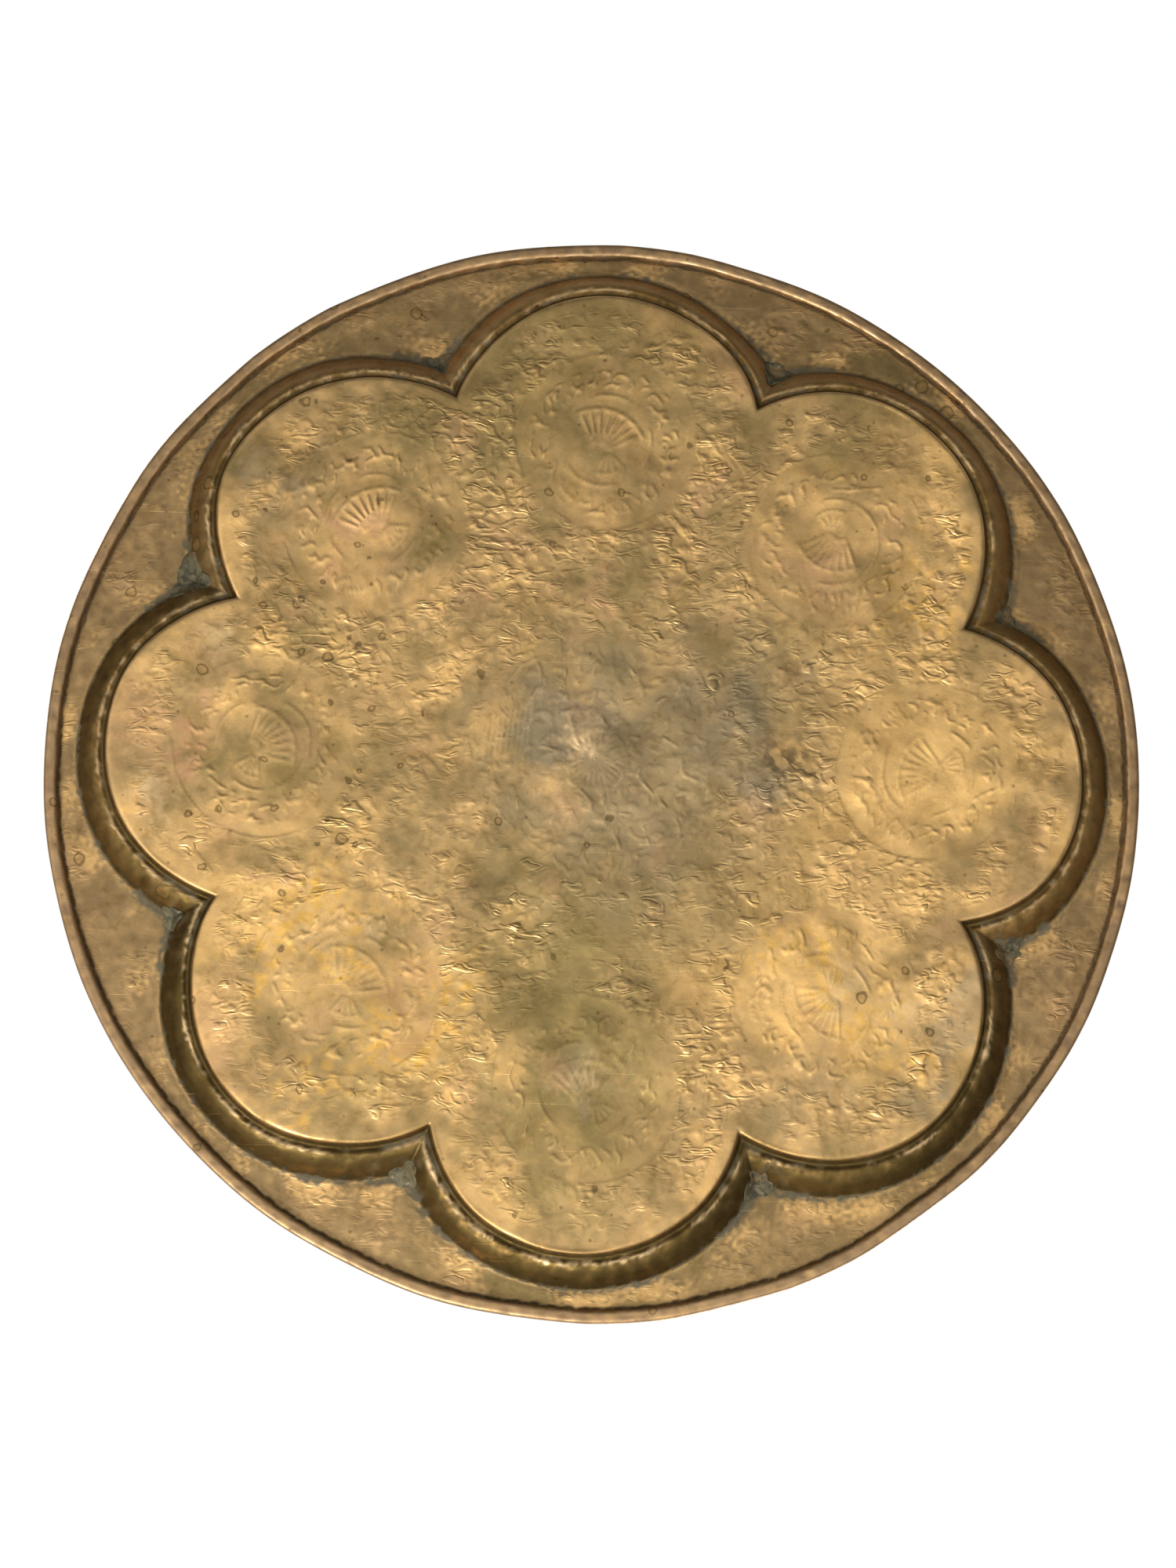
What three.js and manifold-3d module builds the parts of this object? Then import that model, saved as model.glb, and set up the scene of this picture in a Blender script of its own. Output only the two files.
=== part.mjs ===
// Round brass serving tray with an eight-lobed well, a wired rim and eight solder fills.
// Millimetres, +Z up, the open face of the well up, origin at the centre of the underside that it rests on.

import * as THREE from 'three';
import { mergeVertices } from 'three/addons/utils/BufferGeometryUtils.js';
import Module from 'manifold-3d';

const wasm = await Module();
wasm.setup();

// ---- Driving dimensions ----
const TRAY_RADIUS = 190;
const SHEET = 0.9;

// The well is eight overlapping round lobes. Its field is the flat underside that the tray stands on.
const LOBES = 8;
const LOBE_CENTRE_RADIUS = 113.3;
const LOBE_RADIUS = 53.7;
const FIELD_CORE_RADIUS = 90;
const WELL_DEPTH = 13.6;

// Underside of the moulding round each lobe: distance out from the field's edge, and height.
// A steep riser, a groove, a low bead, then an ovolo that stands almost upright where it meets the flange.
const MOULDING = [
  [0, 0],
  [1.0, 3.9],
  [1.9, 4.8],
  [3.3, 4.3],
  [5.6, 5.3],
  [8.0, 7.8],
  [10.1, 11.0],
  [11.4, WELL_DEPTH],
];

// The flange is level next to the well's inner corners, then lifts a little towards the rim.
const FLANGE_INNER_RADIUS = 145;
const FLANGE_LEVEL_RADIUS = 150;
const FLANGE_SLOPE = 0.027;

// The rim is rolled to the back over a wire, and its lip stops just short of the flange.
const WIRE_RADIUS = 1.1;
const FIT_GAP = 0.3;
const HEM_START_DEGREES = 90;
const HEM_TURN_DEGREES = 297;
const HEM_STEPS = 9;

// Solder run into the outside corner between two lobes: how far each fill reaches, going round from +X.
const SOLDER_REACHES = [9.5, 7.0, 7.5, 5.5, 7.5, 7.0, 6.0, 5.5];
const SOLDER_DEPTH_RATIO = 0.42;
const SOLDER_INSET = 0.35;

// ---- Facet counts ----
const RIM_SEGMENTS = 72;
const LOBE_SEGMENTS = 32;
const WIRE_SIDES = 8;
const SOLDER_SEGMENTS = 14;
const SOLDER_RINGS = 3;

// ---- Helper values worked out from them ----
const HEM_OUTER_RADIUS = WIRE_RADIUS + FIT_GAP + SHEET;
const HEM_INNER_RADIUS = WIRE_RADIUS + FIT_GAP;
const WIRE_RING_RADIUS = TRAY_RADIUS - HEM_OUTER_RADIUS;
const WIRE_HEIGHT = flangeUnderside(WIRE_RING_RADIUS) - HEM_INNER_RADIUS;
const FLANGE_MIDDLE = SHEET * 0.6;
const BELOW_THE_TRAY = -1;
const ABOVE_THE_TRAY = 30;
const SAME_POINT = 1e-4;

function flangeUnderside(radius) {
  return WELL_DEPTH + FLANGE_SLOPE * Math.max(0, radius - FLANGE_LEVEL_RADIUS);
}

// ---- Solids ----

// Turns a closed geometry into a manifold solid. Faces of no area, as at a lathe's axis, are left out.
function solidOf(geometry) {
  geometry.deleteAttribute('normal');
  geometry.deleteAttribute('uv');
  const merged = mergeVertices(geometry, SAME_POINT);
  const corners = merged.index.array;
  const faces = [];
  for (let i = 0; i < corners.length; i += 3) {
    const [a, b, c] = corners.slice(i, i + 3);
    if (a !== b && b !== c && c !== a) faces.push(a, b, c);
  }
  const mesh = new wasm.Mesh({
    numProp: 3,
    vertProperties: new Float32Array(merged.attributes.position.array),
    triVerts: new Uint32Array(faces),
  });
  return new wasm.Manifold(mesh);
}

function geometryOf(solid) {
  const { vertProperties, triVerts } = solid.getMesh();
  const geometry = new THREE.BufferGeometry();
  geometry.setAttribute('position', new THREE.BufferAttribute(new Float32Array(vertProperties), 3));
  geometry.setIndex(new THREE.BufferAttribute(new Uint32Array(triVerts), 1));
  geometry.computeVertexNormals();
  return geometry;
}

// Spins a profile of [radius, height] points about the upright axis. The points run from the bottom up.
function turned(profile, segments) {
  const points = profile.map(([radius, height]) => new THREE.Vector2(radius, height));
  const geometry = new THREE.LatheGeometry(points, segments);
  geometry.rotateX(Math.PI / 2);
  return geometry;
}

// Shifts an open profile to its left by a distance, with each corner mitred. The ends run on level.
function shifted(profile, distance) {
  return profile.map(([x, y], i) => {
    const [x0, y0] = i > 0 ? profile[i - 1] : [x - 1, y];
    const [x1, y1] = i < profile.length - 1 ? profile[i + 1] : [x + 1, y];
    const before = new THREE.Vector2(y0 - y, x - x0).normalize();
    const after = new THREE.Vector2(y - y1, x1 - x).normalize();
    const mitre = before.clone().add(after).normalize();
    const reach = distance / mitre.dot(after);
    return [x + mitre.x * reach, y + mitre.y * reach];
  });
}

// Carries the last slope of a profile on up to a height.
function runUpTo(profile, height) {
  const [[x0, y0], [x1, y1]] = profile.slice(-2);
  const reach = (x1 - x0) * (height - y0) / (y1 - y0);
  return [...profile.slice(0, -1), [x0 + reach, height]];
}

// The angle of each lobe's centre from +X.
function lobeAngles() {
  return Array.from({ length: LOBES }, (_, i) => i * 2 * Math.PI / LOBES);
}

// One lobe, solid from its moulded side inwards, as a round body about its own centre.
function lobeSolid(moulding, angle, top) {
  const side = runUpTo(moulding, top).map(([out, height]) => [LOBE_RADIUS + out, height]);
  const bottom = side[0][1];
  const geometry = turned([[0, bottom], ...side, [0, top]], LOBE_SEGMENTS);
  geometry.translate(LOBE_CENTRE_RADIUS * Math.cos(angle), LOBE_CENTRE_RADIUS * Math.sin(angle), 0);
  return solidOf(geometry);
}

// The whole lobed body, with a round core under the middle that the lobes leave bare.
function lobedSolid(moulding, top) {
  const bottom = moulding[0][1];
  const core = [[0, bottom], [FIELD_CORE_RADIUS, bottom], [FIELD_CORE_RADIUS, top], [0, top]];
  const start = solidOf(turned(core, RIM_SEGMENTS));
  return lobeAngles().reduce((body, angle) => body.add(lobeSolid(moulding, angle, top)), start);
}

// The flange and the roll of the hem, as one closed profile spun about the tray's axis.
function flangeSolid() {
  const arc = (radius) => Array.from({ length: HEM_STEPS + 1 }, (_, i) => {
    const angle = THREE.MathUtils.degToRad(HEM_START_DEGREES - i * HEM_TURN_DEGREES / HEM_STEPS);
    return [WIRE_RING_RADIUS + radius * Math.cos(angle), WIRE_HEIGHT + radius * Math.sin(angle)];
  });
  const start = [FLANGE_INNER_RADIUS, WELL_DEPTH];
  const profile = [
    start,
    [FLANGE_LEVEL_RADIUS, WELL_DEPTH],
    ...arc(HEM_INNER_RADIUS),
    ...arc(HEM_OUTER_RADIUS).reverse(),
    [FLANGE_LEVEL_RADIUS, WELL_DEPTH + SHEET],
    [FLANGE_INNER_RADIUS, WELL_DEPTH + SHEET],
    start,
  ];
  return solidOf(turned(profile, RIM_SEGMENTS));
}

// Everything below a surface that lies inside the thickness of the flange.
function underTheFlange() {
  return solidOf(turned([
    [0, BELOW_THE_TRAY],
    [WIRE_RING_RADIUS, BELOW_THE_TRAY],
    [WIRE_RING_RADIUS, flangeUnderside(WIRE_RING_RADIUS) + FLANGE_MIDDLE],
    [FLANGE_LEVEL_RADIUS, WELL_DEPTH + FLANGE_MIDDLE],
    [0, WELL_DEPTH + FLANGE_MIDDLE],
  ], RIM_SEGMENTS));
}

// ---- Pieces ----

function trayPan() {
  const outside = lobedSolid(MOULDING, ABOVE_THE_TRAY).intersect(underTheFlange());
  const hollow = lobedSolid(shifted(MOULDING, SHEET), ABOVE_THE_TRAY);
  return geometryOf(outside.add(flangeSolid()).subtract(hollow));
}

function rimWire() {
  return new THREE.TorusGeometry(WIRE_RING_RADIUS, WIRE_RADIUS, WIRE_SIDES, RIM_SEGMENTS);
}

// A low dome under the flange, cut to the two lobes beside it, with its widest ring up against the flange.
function cuspSolder(index) {
  const reach = SOLDER_REACHES[index];
  const depth = reach * SOLDER_DEPTH_RATIO;
  const angle = (index + 0.5) * 2 * Math.PI / LOBES;
  const halfSpan = LOBE_CENTRE_RADIUS * Math.sin(Math.PI / LOBES);
  const toHalfSpan = LOBE_CENTRE_RADIUS * Math.cos(Math.PI / LOBES);
  const mouldingRadius = LOBE_RADIUS + MOULDING.at(-1)[0];
  const cornerRadius = toHalfSpan + Math.sqrt(mouldingRadius ** 2 - halfSpan ** 2);
  const centre = cornerRadius + reach * SOLDER_INSET;
  const top = WELL_DEPTH - FIT_GAP;
  const dome = Array.from({ length: SOLDER_RINGS + 1 }, (_, i) => {
    const turn = i / SOLDER_RINGS * Math.PI / 2;
    return [reach * Math.sin(turn), top - depth * Math.cos(turn)];
  });
  const geometry = turned([...dome, [0, top]], SOLDER_SEGMENTS);
  geometry.translate(centre * Math.cos(angle), centre * Math.sin(angle), 0);
  const beside = [index, (index + 1) % LOBES].map((i) => lobeAngles()[i]);
  const clear = shifted(MOULDING, -FIT_GAP);
  const cutters = beside.map((lobe) => lobeSolid(clear, lobe, ABOVE_THE_TRAY));
  return geometryOf(solidOf(geometry).subtract(cutters[0]).subtract(cutters[1]));
}

// ---- Assembly ----

const tray = new THREE.Group();

function place(name, geometry, color, roughness) {
  const material = new THREE.MeshStandardMaterial({ color, roughness, metalness: 1 });
  const mesh = new THREE.Mesh(geometry, material);
  mesh.name = name;
  tray.add(mesh);
  return mesh;
}

place('tray_pan', trayPan(), 0xa98a55, 0.38);
place('rim_wire', rimWire(), 0x6e675c, 0.55).position.z = WIRE_HEIGHT;
SOLDER_REACHES.forEach((_, i) => place(`cusp_solder_${i + 1}`, cuspSolder(i), 0x77756c, 0.6));

export default tray;
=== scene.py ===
# %% [markdown]
# # A lobed brass tray
#
# The tray is one brass sheet, hammered into a shallow well with eight round lobes, with a moulding round the well,
# a level flange, and a rim rolled to the back over a wire. A pattern was chased into the front, and every punch
# mark shows on the back as a soft bump. The CAD nodes give the true sizes, so they are loaded first and never
# moved.

# %% Load the packed tray
import math

import bpy
import numpy as np
from mathutils import Matrix, Vector


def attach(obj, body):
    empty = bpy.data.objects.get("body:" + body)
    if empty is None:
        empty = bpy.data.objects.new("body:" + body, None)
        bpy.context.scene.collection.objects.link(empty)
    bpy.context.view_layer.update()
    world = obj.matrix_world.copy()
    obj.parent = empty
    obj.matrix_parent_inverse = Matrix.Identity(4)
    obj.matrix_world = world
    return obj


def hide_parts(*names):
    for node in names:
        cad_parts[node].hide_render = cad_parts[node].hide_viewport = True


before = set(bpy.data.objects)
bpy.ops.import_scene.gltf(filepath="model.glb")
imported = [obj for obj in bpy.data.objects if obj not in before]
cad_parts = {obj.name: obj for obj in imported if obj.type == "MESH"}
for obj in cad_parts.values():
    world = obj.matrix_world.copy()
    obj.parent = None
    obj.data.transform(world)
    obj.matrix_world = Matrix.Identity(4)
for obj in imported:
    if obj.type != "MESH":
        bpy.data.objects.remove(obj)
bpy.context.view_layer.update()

MM = 0.001
print("CAD nodes:", sorted(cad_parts))

# %% [markdown]
# ## Sizes
#
# All the making below is done in millimetres, and turned into metres when a mesh is made. These are the sizes
# that the CAD was drawn to. The rim is a hair inside the CAD's facets, so a true circle stays in its box.

# %% The tray's sizes
LOBES = 8
LOBE_CENTRE = 113.3
LOBE_RADIUS = 53.7
SHEET = 0.9
WELL_DEPTH = 13.6
FLANGE_LEVEL_RADIUS = 150.0
FLANGE_SLOPE = 0.027
RIM_REACH = 189.9
ROLL_OUTSIDE = 2.3
ROLL_INSIDE = 1.4
WIRE_RADIUS = 1.1
ROLL_RING = RIM_REACH - ROLL_OUTSIDE


def smooth(value, low, high):
    """0 below low, 1 above high, and an even ease between them."""
    t = np.clip((value - low) / (high - low), 0, 1)
    return t * t * (3 - 2 * t)


def hump(value, middle, width):
    """1 at the middle, falling away evenly to both sides."""
    return np.exp(-((value - middle) / width) ** 2)


def flange_under(radius):
    """The height of the flange's underside, which lifts a little towards the rim."""
    return WELL_DEPTH + FLANGE_SLOPE * np.maximum(0, radius - FLANGE_LEVEL_RADIUS)


ROLL_HEIGHT = float(flange_under(ROLL_RING + 0.1)) - ROLL_INSIDE
print("the roll's centre is at", round(ROLL_RING, 2), "out and", round(ROLL_HEIGHT, 2), "up")

# %% [markdown]
# ## The lobed outline
#
# The well's edge is eight arcs. Every ray from the tray's middle meets it once, so a ring that follows the
# outline is a reach for each angle. Folding the angle into one lobe lets one formula serve all eight. The same
# idea gives how far any point lies outside the edge, which later places dirt, wear and solder.

# %% Outline of the well
LOBE_STEP = 2 * math.pi / LOBES
CORNER_ACROSS = LOBE_CENTRE * math.sin(LOBE_STEP / 2)
CORNER_ALONG = LOBE_CENTRE * math.cos(LOBE_STEP / 2)
CORNER_REACH = CORNER_ALONG + math.sqrt(LOBE_RADIUS ** 2 - CORNER_ACROSS ** 2)


def folded(angle):
    """An angle as seen from the nearest lobe's middle."""
    return (angle + LOBE_STEP / 2) % LOBE_STEP - LOBE_STEP / 2


def reach_to(angle, out):
    """How far a ray from the middle goes to the line that runs 'out' beyond the well's edge."""
    turn = folded(angle)
    return LOBE_CENTRE * np.cos(turn) + np.sqrt((LOBE_RADIUS + out) ** 2 - (LOBE_CENTRE * np.sin(turn)) ** 2)


def distance_out(x, y):
    """How far points lie outside the well's edge; inside it the answer is below 0."""
    radius, turn = np.hypot(x, y), np.abs(folded(np.arctan2(y, x)))
    along, across = radius * np.cos(turn) - LOBE_CENTRE, radius * np.sin(turn)
    to_arc = np.hypot(along, across) - LOBE_RADIUS
    corner_x = CORNER_REACH * math.cos(LOBE_STEP / 2)
    corner_y = CORNER_REACH * math.sin(LOBE_STEP / 2)
    to_corner = -np.hypot(radius * np.cos(turn) - corner_x, across - corner_y)
    span = math.atan2(corner_y, corner_x - LOBE_CENTRE)
    beside_arc = np.arctan2(across, along) <= span
    inside = radius < reach_to(turn, 0)
    return np.where(inside & ~beside_arc, to_corner, to_arc)


print("the well's inner corners are", round(CORNER_REACH, 1), "mm from the middle")

# %% [markdown]
# ## The section of the moulding
#
# Going out from the well's edge, the underside turns a crisp shoulder, climbs a steep riser into a groove,
# passes a low bead, and climbs a hollow curve to the flange. It is drawn as a few points and eased by cutting
# their corners. The front of the sheet is the same line moved by the sheet's thickness, so the wall keeps an
# even gauge, as a raised sheet does.

# %% Section of the moulding
UNDERSIDE = [
    (-3.0, 0.70), (-0.9, 0.72), (-0.30, 0.84), (0.10, 1.38), (0.42, 2.5), (0.85, 3.95), (1.35, 4.78),
    (2.00, 4.95), (2.70, 4.50), (3.40, 4.20), (4.4, 4.62), (5.7, 5.35), (8.0, 7.8), (10.1, 11.0),
    (11.0, 12.75), (11.6, 13.45), (12.6, WELL_DEPTH),
]
SECTION_END = UNDERSIDE[-1][0]
LEAN_FROM, LEAN_TO = 8.0, 12.4  # where the wall takes up the slope of the flange
CORNER_MOULDING = 17.0  # how far the moulding reaches past an inner corner


def eased(points, times=2):
    """Cuts the corners of an open line, and keeps its ends."""
    line = np.array(points, float)
    for _ in range(times):
        cut = np.empty((2 * len(line) - 2, 2))
        cut[0::2] = 0.75 * line[:-1] + 0.25 * line[1:]
        cut[1::2] = 0.25 * line[:-1] + 0.75 * line[1:]
        line = np.vstack([line[:1], cut, line[-1:]])
    return line


def stations(line, spacing):
    """Evenly spaced points along a line."""
    run = np.concatenate([[0], np.cumsum(np.hypot(*np.diff(line, axis=0).T))])
    at = np.linspace(0, run[-1], max(2, math.ceil(run[-1] / spacing) + 1))
    return np.column_stack([np.interp(at, run, line[:, 0]), np.interp(at, run, line[:, 1])])


def upward(line):
    """The direction square to each point of a line, on the side where the sheet's thickness lies."""
    slope = np.gradient(line, axis=0)
    slope /= np.hypot(*slope.T)[:, None]
    return np.column_stack([-slope[:, 1], slope[:, 0]])


underside_line = eased(UNDERSIDE)
topside_line = underside_line + SHEET * upward(underside_line)
topside_line[:, 0] = np.maximum.accumulate(topside_line[:, 0])
topside_line[-1] = (SECTION_END, WELL_DEPTH + SHEET)
print("moulding section:", len(underside_line), "points, from", underside_line[0], "to", underside_line[-1])

# %% [markdown]
# ## Maps of hand work
#
# Hammering and punching are random but have a size: a planishing hammer leaves dimples about 9 mm apart, a
# matting punch leaves short crooked ridges about 3 mm apart. Filtering white noise to one wavelength gives just
# that. Each map covers the tray once, is made from its own seed, and is read at any point by blending its four
# nearest cells.

# %% Maps of hand work
MAP_CELLS = 1536
MAP_SPAN = 400.0


def hand_map(seed, wavelength, spread=0.35, sideways=1.0):
    """Even-sized random waves with a mean of 0 and a deviation of 1, drawn out along X by sideways."""
    grain = np.random.default_rng(seed).standard_normal((MAP_CELLS, MAP_CELLS))
    per_mm = np.hypot(
        np.fft.fftfreq(MAP_CELLS, MAP_SPAN / MAP_CELLS)[:, None] / math.sqrt(sideways),
        np.fft.rfftfreq(MAP_CELLS, MAP_SPAN / MAP_CELLS)[None, :] * math.sqrt(sideways),
    )
    kept = np.exp(-((per_mm * wavelength - 1) / spread) ** 2)
    waves = np.fft.irfft2(np.fft.rfft2(grain) * kept, s=grain.shape)
    return (waves / waves.std()).astype(np.float32)


def read(chart, x, y):
    """The values of a map at points in millimetres from the tray's middle. Maps repeat past their edges."""
    u = (np.asarray(x) / MAP_SPAN + 0.5) * MAP_CELLS
    v = (np.asarray(y) / MAP_SPAN + 0.5) * MAP_CELLS
    i, j = np.floor(u).astype(int), np.floor(v).astype(int)
    fu, fv = u - i, v - j
    i0, j0, i1, j1 = i % MAP_CELLS, j % MAP_CELLS, (i + 1) % MAP_CELLS, (j + 1) % MAP_CELLS
    near = chart[j0, i0] * (1 - fu) + chart[j0, i1] * fu
    far = chart[j1, i0] * (1 - fu) + chart[j1, i1] * fu
    return near * (1 - fv) + far * fv


worm_map = hand_map(11, 5.8, 0.36, 1.7)
break_map = hand_map(12, 6.4, 0.45)
planish_map = hand_map(13, 9.0, 0.35)
dent_map = hand_map(14, 52.0, 0.45)
dimple_map = hand_map(15, 21.0, 0.40)
bead_map = hand_map(16, 12.0, 0.55)
cloud_map = hand_map(17, 30.0, 0.60)
mottle_map = hand_map(18, 7.0, 0.60)
wobble_map = hand_map(19, 90.0, 0.50)
fleck_map = hand_map(20, 3.0, 0.50)
print("made 10 maps of", MAP_CELLS, "cells a side")

# %% [markdown]
# ## The chased pattern
#
# The front carries a roundel in each lobe and a larger one in the middle, set in a ground of matting. From the
# back they are ghosts: rings of short radial ticks, fans of ribs inside them, plain bands between, and crooked
# worm-like ridges everywhere else. The pattern is laid down once, as a height map, and pushes both faces of the
# sheet the same way. The fans are plain palmettes, each set at its own angle.

# %% Lay down the chased pattern
cell_at = (np.arange(MAP_CELLS) / MAP_CELLS - 0.5) * MAP_SPAN
chart_x, chart_y = np.meshgrid(cell_at, cell_at)
FAN_REACH = 14.0
TICKS_FROM, TICKS_TO = 19.5, 26.5
TICK_DRAW, TICK_WIDTH = 0.72, 0.36
BAND_TO = 32.0

worms = 0.65 * np.exp(-(worm_map / 0.42) ** 2) + 0.75 * smooth(worm_map, 0.2, 1.3)
worms = worms * smooth(break_map, -0.2, 0.6)
pattern = np.zeros_like(worm_map)
ground = np.ones_like(worm_map)


def lobe_middle(index):
    """Where a lobe's centre stands, going round from +X."""
    angle = index * LOBE_STEP
    return LOBE_CENTRE * math.cos(angle), LOBE_CENTRE * math.sin(angle)


def stroke(start, end, width, height):
    """Adds one straight punched ridge to the pattern, tapered at both ends."""
    pad = 3 * width
    low, high = np.minimum(start, end) - pad, np.maximum(start, end) + pad
    i0, j0 = ((low / MAP_SPAN + 0.5) * MAP_CELLS).astype(int)
    i1, j1 = ((high / MAP_SPAN + 0.5) * MAP_CELLS).astype(int) + 1
    x, y = chart_x[j0:j1, i0:i1], chart_y[j0:j1, i0:i1]
    run = np.subtract(end, start)
    t = np.clip(((x - start[0]) * run[0] + (y - start[1]) * run[1]) / (run @ run), 0, 1)
    away = np.hypot(x - start[0] - t * run[0], y - start[1] - t * run[1])
    ridge = height * np.exp(-(away / width) ** 2) * (0.35 + 0.65 * np.sin(np.pi * np.clip(t, 0.08, 0.92)))
    pattern[j0:j1, i0:i1] = np.maximum(pattern[j0:j1, i0:i1], ridge)


def at_angle(middle, radius, angle):
    """The point that lies a radius away from a middle."""
    return np.array([middle[0] + radius * math.cos(angle), middle[1] + radius * math.sin(angle)])


def fan(middle, facing, ribs, spread, reach, height):
    """A palmette: ribs that open from a foot, and two short arcs that bind them."""
    foot = at_angle(middle, -0.55 * reach, facing)
    for k in range(ribs):
        angle = facing + spread * (k / (ribs - 1) - 0.5)
        stroke(at_angle(foot, 0.35 * reach, angle), at_angle(foot, 1.45 * reach, angle), 0.62, height)
    for share in (0.45, 1.5):
        bend = facing + spread * np.linspace(-0.55, 0.55, 7)
        for one, other in zip(bend[:-1], bend[1:]):
            stroke(at_angle(foot, share * reach, one), at_angle(foot, share * reach, other), 0.8, 0.8 * height)


def tick_ridges(around, away):
    """Short radial ridges: the matting's map, read along a circle and out from it."""
    return np.exp(-(read(worm_map, around, away) / TICK_WIDTH) ** 2)


def roundel(middle, offset, height):
    """Clears the matting from a roundel, and rings it with radial ticks."""
    away = np.hypot(chart_x - middle[0], chart_y - middle[1])
    turn = np.arctan2(chart_y - middle[1], chart_x - middle[0])
    around = turn * (TICKS_FROM + TICKS_TO) / 2
    ticks = tick_ridges(around + offset, away * TICK_DRAW + offset) * smooth(break_map, -0.6, 0.1)
    ring = smooth(away, TICKS_FROM - 1, TICKS_FROM + 1) * (1 - smooth(away, TICKS_TO - 1, TICKS_TO + 1))
    np.maximum(pattern, height * ticks * ring, out=pattern)
    lines = 0.6 * hump(away, FAN_REACH + 2.2, 0.6) + 0.35 * hump(away, BAND_TO, 0.6)
    np.maximum(pattern, height * lines * smooth(dimple_map, -0.6, 0.8), out=pattern)
    ground[:] = ground * smooth(away, BAND_TO - 1.5, BAND_TO + 1.5)


FAN_FACINGS = [2.6, 1.1, 1.9, -1.2, 0.2, -0.8, 1.4, 2.2]
FAN_HEIGHTS = [0.9, 1.0, 1.0, 0.75, 0.6, 0.55, 0.55, 0.7]
for index in range(LOBES):
    middle = lobe_middle(index)
    roundel(middle, 37.0 * index, 0.6 + 0.4 * FAN_HEIGHTS[index])
    fan(middle, FAN_FACINGS[index], 8, 1.5, 0.80 * FAN_REACH, FAN_HEIGHTS[index])
    fan(at_angle(middle, 0.5 * FAN_REACH, FAN_FACINGS[index] + 2.6), FAN_FACINGS[index] + 2.6, 4, 1.1,
        0.4 * FAN_REACH, 0.7 * FAN_HEIGHTS[index])

# %% [markdown]
# The medallion in the middle is larger and busier: its edge swings in five soft lobes, scrolls and matting fill
# it, six small fans open from its centre, and a comb of strokes stands to one side. The same ticks ring it.

# %% The medallion in the middle
MEDALLION_REACH = 37.0
MEDALLION_BAND = 42.5
COMB_TOP, COMB_TOP_STEP = np.array([21.0, 20.0]), np.array([1.9, -0.8])
COMB_FOOT, COMB_FOOT_STEP = np.array([23.0, 2.0]), np.array([1.9, -0.5])
from_middle = np.hypot(chart_x, chart_y)
around_middle = np.arctan2(chart_y, chart_x)
medallion_edge = MEDALLION_REACH + 2.5 * np.cos(5 * around_middle + 0.7) + read(dimple_map, chart_x, chart_y)
inside_medallion = 1 - smooth(from_middle, medallion_edge - 2, medallion_edge + 1)
ground *= smooth(from_middle, MEDALLION_BAND - 1.5, MEDALLION_BAND + 1.5)
scrolls = np.exp(-(dimple_map / 0.16) ** 2) * smooth(break_map, -0.6, 0.2)
pattern = np.maximum(pattern, inside_medallion * np.maximum(0.75 * scrolls, 0.55 * worms))
for k in range(9):
    stroke(COMB_TOP + k * COMB_TOP_STEP, COMB_FOOT + k * COMB_FOOT_STEP, 0.6, 0.55)
for k in range(6):
    fan((0.0, 0.0), 0.5 + k * math.pi / 3, 5, 0.55, 11.0, 0.5)
rim_ticks = tick_ridges(around_middle * 40, from_middle * TICK_DRAW)
pattern = np.maximum(pattern, 0.5 * rim_ticks * hump(from_middle, medallion_edge + 1, 2.2))
print("chased pattern covers", round(float((pattern > 0.3).mean()) * 100, 1), "% of the map before the matting")

# %% [markdown]
# The matting was struck by hand, so it is deep in some places and worn away in others. A short list of places
# says where it stands out, and where the sheet was planished flat again. Beyond the well, on the flange, only a
# few short marks were struck.

# %% Where the matting is strong
STRONG_MATTING = [  # middle x, middle y, reach, strength
    (52, 96, 42, 0.55), (10, 128, 46, 0.55), (-45, 92, 40, 0.5), (-110, 45, 42, 0.45), (88, 52, 34, 0.5),
    (112, -12, 36, 0.45), (-70, -20, 40, 0.30), (-104, -88, 38, 0.55), (42, -82, 36, 0.40),
    (-38, -112, 34, 0.45), (96, -84, 34, 0.30), (0, -150, 26, 0.2), (-62, -70, 28, 0.25),
]
WORN_FLAT = [
    (-12, -52, 34, 0.6), (6, 142, 20, 0.5), (150, -20, 26, 0.6), (-6, -108, 30, 0.5), (120, -120, 26, 0.4),
]


def spotted(places, x, y):
    """The sum of soft round spots, each given as (x, y, reach, strength)."""
    return sum(s * np.exp(-((x - px) ** 2 + (y - py) ** 2) / r ** 2) for px, py, r, s in places)


outside = distance_out(chart_x, chart_y)
matting = 0.34 + spotted(STRONG_MATTING, chart_x, chart_y) - spotted(WORN_FLAT, chart_x, chart_y)
matting = np.clip(matting + 0.22 * cloud_map, 0.06, 1.1) * (1 - smooth(outside, -9, -4))
pattern = np.where(outside < 0, np.maximum(pattern * (1 - smooth(outside, -6, -3)), worms * ground * matting), 0)
flange_marks = worms * smooth(outside, 14.5, 18) * (1 - smooth(from_middle, 181, 184.5))
pattern += flange_marks * np.clip(0.16 + 0.22 * cloud_map + 0.15 * break_map, 0, 1)
print("deepest mark is", round(float(pattern.max()), 2), "of a full punch")

# %% [markdown]
# ## The sheet as rings
#
# Both faces of the sheet, the moulding and the roll of the rim are one closed surface, so they are made as one
# mesh: rings of points that start in the middle of the underside, run out over the moulding and the flange,
# round the roll to its lip and back, and home over the front. Rings near the middle need fewer points, so the
# count halves as they shrink. Every count that crosses a lobe's corner is a multiple of 16, which puts a point
# exactly on each corner and keeps it sharp.

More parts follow.
